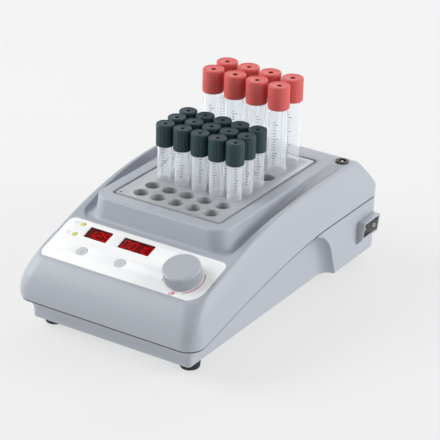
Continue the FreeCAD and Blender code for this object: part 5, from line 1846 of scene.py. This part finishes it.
@dataclass
class ControlPanel:
    """The printed overlay with its windows, lamps, keys and knob, in the panel's own coordinates."""

    half: float = 75.8
    front: float = -0.4
    depth: float = 50.5
    proud: float = 0.2
    thick: float = 0.7
    radii: tuple[float, float, float, float] = (10.0, 17.0, 6.0, 6.0)
    windows: tuple[Place, ...] = ((-53.0, 22.0), (-19.5, 29.8))
    window_v: Place = (33.0, 45.4)
    window_r: float = 1.2
    window_fit: float = 0.1
    window_top: float = -0.3
    window_thick: float = 1.0
    keys: Place = (-43.3, -6.1)
    key_v: float = 17.6
    key_r: float = 4.65
    key_fit: float = 0.25
    key_low: float = -5.6
    key_stem_r: float = 1.5
    key_thick: float = 0.9
    lamp_x: float = -60.8
    lamp_v: Place = (33.0, 45.7)
    lamp_r: float = 2.0
    lamp_hole_r: float = 2.2
    lamp_low: float = -10.4
    knob: Place = (51.4, 22.4)
    knob_hole_r: float = 3.7
    shaft_r: float = 3.05
    knob_r: float = 15.5
    knob_low: float = 1.6
    knob_height: float = 11.0
    knob_ridges: int = 72
    ridge_depth: float = 0.42
    arc_gap: float = 1.5
    arcs: tuple[Place, ...] = ((-60, 38), (203, 212))
    digit_height: float = 8.2
    digit_width: float = 4.7
    digit_gap: float = 2.3
    digit_rise: float = 0.4
    digit_lean: float = 0.10
    digit_bar: float = 0.78
    digit_cover: float = 0.25
    ink: float = 0.03
    stroke: float = 0.28

    def overlay(self) -> Piece:
        """The sheet with its windows and holes.

        Returns:
            The sheet, not yet dressed.
        """
        outline = rounded_rectangle(-self.half, self.half, self.front, self.depth, self.radii, 14)
        holes = [self.window_outline(x, width, self.window_fit) for x, width in self.windows]
        holes += [circle(self.lamp_x, v, self.lamp_hole_r, 32) for v in self.lamp_v]
        holes += [circle(x, self.key_v, self.key_r + self.key_fit, 48) for x in self.keys]
        holes.append(circle(*self.knob, self.knob_hole_r, 40))
        return prism("panel_sheet", outline, self.proud - self.thick, self.proud, holes, CASE.on_panel, 0.08)

    def window_outline(self, x: float, width: float, grow: float = 0.0) -> Points:
        """Outline of a display's window, or of the hole that it looks through."""
        low, high = self.window_v
        return rounded_rectangle(x - grow, x + width + grow, low - grow, high + grow, (self.window_r,) * 4, 6)

    def marks(self, name: str, outlines: Sequence[Points], low: float, thick: float) -> Piece:
        """Marks as a thin layer of ink or light.

        Args:
            name: the piece's name.
            outlines: the marks' outlines.
            low: height of the layer's underside over the panel's face.
            thick: the layer's thickness.

        Returns:
            All the marks as one piece.
        """
        return joined(name, [prism(name, outline, low, low + thick, to_case=CASE.on_panel)
                             for outline in outlines])

    def printed(self, name: str, outlines: Sequence[Points]) -> Piece:
        """Marks printed on the sheet's face."""
        return self.marks(name, outlines, self.proud - 0.005, self.ink)

    def red_marks(self) -> list[Points]:
        """The arcs beside the knob, the mark before it and three bars.

        Returns:
            An outline for each mark.
        """
        x, v = self.knob
        lines = [ribbon(arc_line(x, v, self.knob_r + self.arc_gap, *ends), 0.7) for ends in self.arcs]
        lines.append(rounded_rectangle(x - 0.2, x + 2.6, v - 17.9, v - 16.5, (0.3,) * 4, 4))
        for i in range(3):
            left, low = x - 2.4 + 0.5 * i, 3.6 - 1.35 * i
            lines.append(rounded_rectangle(left, left + 5.0 - i, low, low + 0.6, (0.2,) * 4, 4))
        return lines

    def grey_marks(self) -> list[Points]:
        """Plain pictograms beside the lamps: heat waves and a clock ring.

        Returns:
            An outline for each mark.
        """
        x = self.lamp_x - 7.0
        low, high = self.lamp_v
        t = np.linspace(-1.0, 1.0, 24)
        waves = [ribbon(np.stack([x + 1.5 * i + 0.35 * np.sin(t * 3.1), high + 1.5 * t], 1), self.stroke)
                 for i in (-1, 0, 1)]
        ring = ribbon(arc_line(x, low, 1.7, 0, 350), self.stroke)
        hands = ribbon(np.array([(x, low + 1.1), (x, low), (x + 0.8, low)]), 0.25)
        return waves + [ring, hands]

    def key_marks(self, x: float, clock: bool) -> list[Points]:
        """A ring near the key's edge and a pictogram inside: a clock or a thermometer.

        Args:
            x: the key's middle.
            clock: whether it shows a clock.

        Returns:
            An outline for each mark.
        """
        v = self.key_v
        ring = [ribbon(arc_line(x, v, self.key_r - 0.55, 0, 352, 60), 0.22)]
        if clock:
            return ring + [ribbon(arc_line(x, v, 1.9, 0, 350), self.stroke),
                           ribbon(np.array([(x, v + 1.3), (x, v), (x + 0.9, v - 0.4)]), 0.26)]
        stem = rounded_rectangle(x - 0.42, x + 0.42, v - 0.9, v + 2.3, (0.1, 0.1, 0.4, 0.4), 6)
        ticks = [rounded_rectangle(x + 0.8, x + 1.7, v + up, v + up + 0.25, (0.1,) * 4, 3)
                 for up in (0.2, 1.0, 1.8)]
        return ring + [stem, circle(x, v - 1.5, 0.95, 28)] + ticks

    def digit(self, x: float, v: float, lit: str) -> list[Points]:
        """The lit bars of a seven-bar digit, each a slim hexagon, leaning to the right.

        Args:
            x: the digit's left edge.
            v: its foot.
            lit: the letters of the lit bars, clockwise from the top, with g in the middle.

        Returns:
            The bars' outlines.
        """
        w, h, t = self.digit_width, self.digit_height, self.digit_bar
        ends = {"a": ((0, h), (w, h)), "b": ((w, h), (w, h / 2)), "c": ((w, h / 2), (w, 0)),
                "d": ((0, 0), (w, 0)), "e": ((0, h / 2), (0, 0)), "f": ((0, h), (0, h / 2)),
                "g": ((0, h / 2), (w, h / 2))}
        bars = []
        for name in lit:
            p, q = (np.array(e, float) for e in ends[name])
            along = (q - p) / np.linalg.norm(q - p)
            side = np.array([-along[1], along[0]])
            p, q = p + along * 0.25, q - along * 0.25
            bar = np.array([p, p + (along + side) * t / 2, q + (side - along) * t / 2, q,
                            q - (along + side) * t / 2, p + (along - side) * t / 2])
            bar[:, 0] += bar[:, 1] * self.digit_lean
            bars.append(bar + (x, v))
        return bars

    def display(self, x: float, width: float, digits: Sequence[str], dot: int) -> list[Points]:
        """All lit bars of one display, centred in its window.

        Args:
            x: the window's left edge.
            width: the window's width.
            digits: the lit bars of each digit.
            dot: the number of the digit that the dot stands before.

        Returns:
            The outlines of the bars and the dot.
        """
        pitch = self.digit_width + self.digit_gap
        first = x + (width - pitch * len(digits) + self.digit_gap) / 2
        first -= self.digit_lean * self.digit_height / 2
        v = (self.window_v[0] + self.window_v[1] - self.digit_height) / 2 + self.digit_rise
        bars = [bar for i, lit in enumerate(digits) for bar in self.digit(first + i * pitch, v, lit)]
        return bars + [circle(first + dot * pitch - 0.95, v + 0.1, 0.42, 12)]

    def window(self, x: float, width: float) -> Piece:
        """A display's tinted window."""
        return prism("window", self.window_outline(x, width), self.window_top - self.window_thick,
                     self.window_top, to_case=CASE.on_panel, bevel=0.12)

    def turned(self, name: str, grid: Points, x: float, v: float, sharp: float = 35.0) -> Piece:
        """A turned piece that stands on the panel."""
        places = CASE.place(CASE.on_panel(grid + (x, v, 0.0)))
        return mesh_piece(name, places, grid_faces(*grid.shape[:2], True), sharp)

    def knob_grid(self) -> Points:
        """The knob: hollow underneath, finely ridged round its side, with a plain rounded top edge.

        Returns:
            A grid of points about Z.
        """
        r, low, top = self.knob_r, self.knob_low, self.knob_low + self.knob_height
        wall, hub = 3.0, 5.5
        profile = [(self.shaft_r, low + 0.4), (hub, low + 0.4), (hub, top - wall), (r - wall, top - wall),
                   (r - wall, low), (r - 0.5, low), (r - 0.1, low + 0.25), (r, low + 0.6)]
        profile += [(r, low + 0.6 + (top - low - 2.4) * share) for share in (0.02, 0.3, 0.6, 0.9, 0.97, 1.0)]
        profile += arc_profile(r - 1.2, top - 1.2, 1.2, 10, 90, 6)
        profile += [(r - wall, top), (r * 0.5, top), (0.02, top)]

        def ridged(angle: Points, radius: Points, z: Points) -> Points:
            """The radius with a fine groove between each two ridges, which fade out at both ends.

            Args:
                angle: angle of each point.
                radius: radius of each point.
                z: height of each point.

            Returns:
                The new radius of each point.
            """
            reach = np.clip((z - low - 0.5) / 0.4, 0, 1) * np.clip((top - 1.6 - z) / 0.8, 0, 1)
            groove = np.clip(0.5 - 1.3 * np.cos(angle * self.knob_ridges), 0.0, 1.0)
            return radius - np.where(radius > r - 0.3, self.ridge_depth, 0.0) * reach * groove

        return lathe(profile, self.knob_ridges * 8, ridged)

    def lamp_grid(self) -> Points:
        """A lamp's lens with its domed end and flange.

        Returns:
            A grid of points about Z.
        """
        r, low, flange = self.lamp_r, self.lamp_low, self.lamp_r + 0.5
        profile = [(0.02, low), (flange, low), (flange, low + 1.0), (r, low + 1.0), (r, -0.9)]
        return lathe(profile + arc_profile(0.0, -1.0, r, 5, 88, 8), 32)

    def key_grid(self) -> Points:
        """A key with a softly domed face and its stem.

        Returns:
            A grid of points about Z.
        """
        r, top, stem, under = self.key_r, self.proud, self.key_stem_r, self.proud - self.key_thick
        profile = [(0.02, self.key_low), (stem, self.key_low), (stem, under), (r, under), (r, top - 0.22)]
        profile += arc_profile(r - 0.2, top - 0.2, 0.2, 15, 90, 4) + [(r - 0.9, top), (0.02, top)]
        return lathe(profile, 56)

    def build(self, finishes: Finishes) -> None:
        """Makes every piece of the panel.

        Args:
            finishes: the materials.
        """
        settle(self.overlay(), finishes.of("overlay"), "case", "overlay", ("panel_overlay",))
        for ink, outlines in (("red", self.red_marks()), ("grey", self.grey_marks())):
            settle(self.printed(f"panel_marks_{ink}", outlines), finishes.of(f"ink_{ink}"), "case", "overlay")
        lit = (("bc", "abdeg", "abcdfg"), ("abcdef", "abcdef", "bc", "abcdef"))
        under = self.window_top - self.window_thick - self.digit_cover
        for (x, width), node, digits in zip(self.windows, ("temp", "time"), lit):
            window = self.window(x, width)
            settle(window, finishes.of("window_red"), "case", "window_red", (f"{node}_window",))
            bars = self.marks(f"{node}_digits", self.display(x, width, digits, 2), under, 0.2)
            settle(bars, finishes.of("digit_red"), "case", "display")
        for i, v in enumerate(self.lamp_v):
            lamp = self.turned(f"lamp_{i + 1}", self.lamp_grid(), self.lamp_x, v)
            settle(lamp, finishes.of("lamp"), "case", "lamp", ("status_lamps",))
        for x, name in zip(self.keys, ("temp", "time")):
            key = self.turned(f"{name}_key_cap", self.key_grid(), x, self.key_v)
            settle(key, finishes.of("key_film"), f"{name}_key", "key_film", (f"{name}_key",))
            ink = self.printed(f"{name}_key_marks", self.key_marks(x, name == "time"))
            settle(ink, finishes.of("ink_grey"), f"{name}_key", "key_film")
        knob = self.turned("knob_cap", self.knob_grid(), *self.knob, 28.0)
        settle(knob, finishes.of("knob_plastic"), "knob", "knob_plastic", ("control_knob",))


# Fittings on the case

@dataclass
class SwitchGuard:
    """The hood round the power switch."""

    start: float = 108.5
    end: float = 136.0
    wall_x: float = 86.5
    face_x: float = 94.0
    slope: float = 2.0
    low: float = 21.5
    knee: float = 26.8
    high: float = 43.4
    root: float = 1.25
    rim: float = 1.6
    edge: float = 0.7

    def build(self) -> Piece:
        """The hood with its opening and eased edges.

        Returns:
            The hood, not yet dressed.
        """
        side = np.array([(self.wall_x - self.root, self.low), (self.wall_x, self.low),
                         (self.face_x - self.slope, self.knee), (self.face_x, self.high),
                         (self.wall_x - self.root, self.high)])
        ends = [np.insert(side, 1, y, axis=1) for y in (self.start, self.end)]
        count = len(side)
        faces = grid_faces(2, count, True).tolist() + [list(range(count)), list(range(count, 2 * count))]
        hood = mesh_piece("switch_guard", CASE.place(np.concatenate(ends)), faces, 20.0)
        hole = box_cutter((self.wall_x - 9.0, self.face_x + 9.0),
                          (self.start + self.rim, self.end - self.rim),
                          (self.knee + self.rim, self.high - self.rim))
        return bevelled(carve(hood, [hole], 20.0), self.edge, 3, 25.0)


@dataclass
class Fittings:
    """Feet, switch, mains inlet and socket."""

    guard: SwitchGuard = field(default_factory=SwitchGuard)
    foot_r: float = 8.5
    foot_bore: float = 2.1
    pocket_r: float = 3.8
    pocket_depth: float = 4.0
    tread: float = 1.8
    pivot: Place = (87.8, 122.25)
    rocker_tilt: float = math.radians(-9.0)
    rocker_face: float = 4.6
    rocker_dish: float = 1.0
    rocker_half: float = 9.85
    mark_z: float = 35.1

    def foot(self) -> Points:
        """A squat rubber foot with a rounded tread and a screw pocket.

        Returns:
            A grid of points about Z.
        """
        r, top, bore, pocket = self.foot_r, CASE.base_z + 0.8, self.foot_bore, self.pocket_r
        profile = [(bore, self.pocket_depth), (pocket, self.pocket_depth), (pocket, 0.4), (pocket + 0.4, 0.0),
                   (r - 2.4, 0.0)]
        profile += arc_profile(r - 2.2, self.tread, self.tread, -85, -10, 6)
        profile += [(r - 0.15, 3.4), (r, 4.4), (r, top), (bore, top), (bore, self.pocket_depth)]
        return lathe(profile, 48)

    def on_rocker(self, points: Points) -> Points:
        """Moves points from the rocker's face, which dishes towards its pivot, to the case's millimetres.

        Args:
            points: Y, Z and height over the face of each point.

        Returns:
            X, Y, Z of each point.
        """
        y, z, out = points.T
        x = self.rocker_face - self.rocker_dish * (1.0 - np.abs(y) / self.rocker_half) + out
        c, s = math.cos(self.rocker_tilt), math.sin(self.rocker_tilt)
        px, py = self.pivot
        return np.stack([px + x * c - y * s, py + x * s + y * c, self.mark_z + z], 1)

    def rocker_marks(self) -> Piece:
        """The bar and the ring moulded on the rocker's two halves.

        Returns:
            Both marks as one piece.
        """
        outlines = (rounded_rectangle(-6.4, -5.8, -1.4, 1.4, (0.2,) * 4, 4),
                    ribbon(arc_line(5.9, 0.0, 1.35, 0, 350, 36), 0.5))
        return joined("rocker_marks", [prism("rocker_marks", outline, -0.02, 0.06, to_case=self.on_rocker)
                                       for outline in outlines])

    def build(self, finishes: Finishes, base: Piece) -> None:
        """Makes the fittings.

        Args:
            finishes: the materials.
            base: the base's shell, which stands for its solid together with the hood.
        """
        settle(self.guard.build(), finishes.of("housing"), "case", "housing", ("base_shell",))
        # The base's material multiplies in the painted shade of the groove under the cover.
        grooved = finishes.opaque("housing_grooved", MATTE["housing"], shaded=True)
        settle(base, grooved, "case", "housing", ("base_shell",))
        points, quads = repeated(self.foot(), CASE.foot_places())
        foot = mesh_piece("rubber_feet", CASE.place(points), quads, 40.0)
        settle(foot, finishes.of("foot_rubber"), "case", "foot_rubber", ("feet",))
        for node, body, slot, bevel in (
                ("power_rocker", "rocker", "rocker_black", 0.35),
                ("switch_body", "case", "black_plastic", 0.3),
                ("mains_inlet", "case", "black_plastic", 0.35),
                ("fuse_drawer", "drawer", "black_plastic", 0.3),
                ("sensor_socket", "case", "black_plastic", 0.25),
                ("inlet_screws", "case", "screw_steel", 0.3),
                ("block_surround", "case", "rim_plastic", 0.2)):
            settle(refined(node, node + "_piece", bevel), finishes.of(slot), body, slot, (node,))
        settle(self.rocker_marks(), finishes.of("ink_white"), "rocker", "rocker_black")


@dataclass(frozen=True)
class SoftBox:
    """A square soft lamp: its name, its place and size in metres, and its power in watts."""

    name: str
    place: tuple[float, float, float]
    size: float
    power: float

    def build(self, aim: tuple[float, float, float]) -> None:
        """Makes the lamp, facing a point.

        Args:
            aim: the point, in metres.
        """
        data = bpy.data.lights.new(self.name, "AREA")
        data.size = self.size
        data.energy = self.power
        obj = linked(self.name, data)
        obj.location = self.place
        obj.rotation_euler = (Vector(aim) - Vector(self.place)).to_track_quat("-Z", "Y").to_euler()


@dataclass(frozen=True)
class Studio:
    """Camera, lamps and floor, from the camera fitted to the photograph."""

    azimuth: float = math.radians(32.20)
    elevation: float = math.radians(25.67)
    roll: float = math.radians(1.44)
    target: tuple[float, float, float] = (-0.0035, 0.02395, 0.040)
    distance: float = 1.719
    lens: float = 166.1
    shift: Place = (-0.0011, 0.0320)
    backdrop: float = 0.879
    zenith: float = 0.24
    horizon: float = 0.86
    facing: float = 0.84
    facing_power: float = 7.0
    floor: Finish = Finish((0.20, 0.20, 0.20), 0.9, tone=0.01, emission=3.15)
    floor_half: float = 6.0
    aim: tuple[float, float, float] = (0.0, 0.0, 0.05)
    lamps: tuple[SoftBox, ...] = (SoftBox("key", (-1.3, -0.6, 1.0), 1.2, 24.0),
                                  SoftBox("side", (1.5, 0.6, 0.7), 1.2, 18.5),
                                  SoftBox("back", (-0.3, 1.4, 1.0), 1.0, 7.0))

    def surroundings(self) -> bpy.types.World:
        """A pale backdrop for the eye, and a sky of soft boxes for the light: dim overhead and in front.

        Returns:
            The world.
        """
        world = bpy.data.worlds.new("studio")
        world.use_nodes = True
        tree = world.node_tree
        background = tree.nodes["Background"]
        background.inputs["Color"].default_value = (1.0, 1.0, 1.0, 1.0)
        way = tree.nodes.new("ShaderNodeTexCoord").outputs["Generated"]
        height = tree.nodes.new("ShaderNodeSeparateXYZ")
        tree.links.new(way, height.inputs[0])
        up = value_math(tree, "MAXIMUM", height.outputs["Z"], 0.0)
        toward = tree.nodes.new("ShaderNodeVectorMath")
        toward.operation = "DOT_PRODUCT"
        toward.inputs[1].default_value = (math.sin(self.azimuth), -math.cos(self.azimuth), 0.0)
        tree.links.new(way, toward.inputs[0])
        ahead = value_math(tree, "MAXIMUM", toward.outputs["Value"], 0.0)
        ahead = value_math(tree, "POWER", ahead, self.facing_power)
        light = value_math(tree, "MULTIPLY", up, self.horizon - self.zenith)
        light = value_math(tree, "SUBTRACT", self.horizon, light)
        light = value_math(tree, "SUBTRACT", light, value_math(tree, "MULTIPLY", ahead, self.facing))
        seen = tree.nodes.new("ShaderNodeLightPath").outputs["Is Camera Ray"]
        mix = tree.nodes.new("ShaderNodeMix")
        mix.data_type = "FLOAT"
        tree.links.new(seen, mix.inputs["Factor"])
        tree.links.new(light, mix.inputs["A"])
        mix.inputs["B"].default_value = self.backdrop
        tree.links.new(mix.outputs["Result"], background.inputs["Strength"])
        return world

    def camera(self) -> None:
        """Places the scene's camera."""
        ca, sa, ce, se = (f(v) for v in (self.azimuth, self.elevation) for f in (math.cos, math.sin))
        forward = Vector((-sa * ce, ca * ce, -se))
        right = Vector((ca, sa, 0.0))
        up = right.cross(forward)
        cr, sr = math.cos(self.roll), math.sin(self.roll)
        turned_right, turned_up = cr * right + sr * up, -sr * right + cr * up
        data = bpy.data.cameras.new("camera")
        data.lens = self.lens
        data.shift_x, data.shift_y = self.shift
        data.clip_end = 20.0
        matrix = Matrix((turned_right, turned_up, -forward)).transposed().to_4x4()
        matrix.translation = Vector(self.target) - forward * self.distance
        camera = linked("camera", data)
        camera.matrix_world = matrix
        bpy.context.scene.camera = camera

    def build(self, finishes: Finishes) -> None:
        """Makes the camera, the lamps, the pale surroundings and the floor.

        Args:
            finishes: the materials.
        """
        scene = bpy.context.scene
        scene.view_settings.view_transform = "Standard"
        scene.world = self.surroundings()
        self.camera()
        for lamp in self.lamps:
            lamp.build(self.aim)
        corners = np.array([(-1.0, -1.0, 0.0), (1.0, -1.0, 0.0), (1.0, 1.0, 0.0), (-1.0, 1.0, 0.0)])
        floor = mesh_piece("floor", corners * self.floor_half, np.array([(0, 1, 2, 3)]))
        floor.data.materials.append(finishes.opaque("floor", self.floor))


def dress_solids(finishes: Finishes) -> None:
    """Gives every solid that is shown as it is the finish of its slot in the record.

    Args:
        finishes: the materials.
    """
    slots = {row["node"]: row["material_slot"] for row in frame["record"]["subparts"]}
    for name, obj in frame["nodes"].items():
        obj.data.materials.clear()
        obj.data.materials.append(finishes.of(slots[name]))


def main() -> None:
    """Builds the dressed incubator and its studio."""
    finishes = Finishes()
    dress_solids(finishes)
    settle(TopCover().build(), finishes.of("housing"), "case", "housing", ("top_cover",))
    Fittings().build(finishes, BaseShell().build())
    ControlPanel().build(finishes)
    # The block's material multiplies in the painted shade of its holes.
    aluminium = finishes.opaque("block_drilled", METAL["block_aluminium"], brushed=True, shaded=True)
    settle(HeatingBlock().build(), aluminium, "block", "block_aluminium", ("heating_block",))
    for kind, size, holes, rows, cap in ((SMALL_TUBE, "small", GRID.small, (3, 4, 5), "cap_dark"),
                                         (LARGE_TUBE, "large", GRID.large, (1, 2), "cap_red")):
        for row, letter in zip(rows, "abc"):
            TubeRow(kind, holes((row,)), f"{size}_tubes_row_{row}", f"{size}_caps_row_{row}",
                    f"{size}_tubes_{letter}").build(finishes, cap)
    Studio().build(finishes)


if __name__ == "__main__":
    logging.basicConfig(level=logging.INFO, format="%(message)s")
    main()
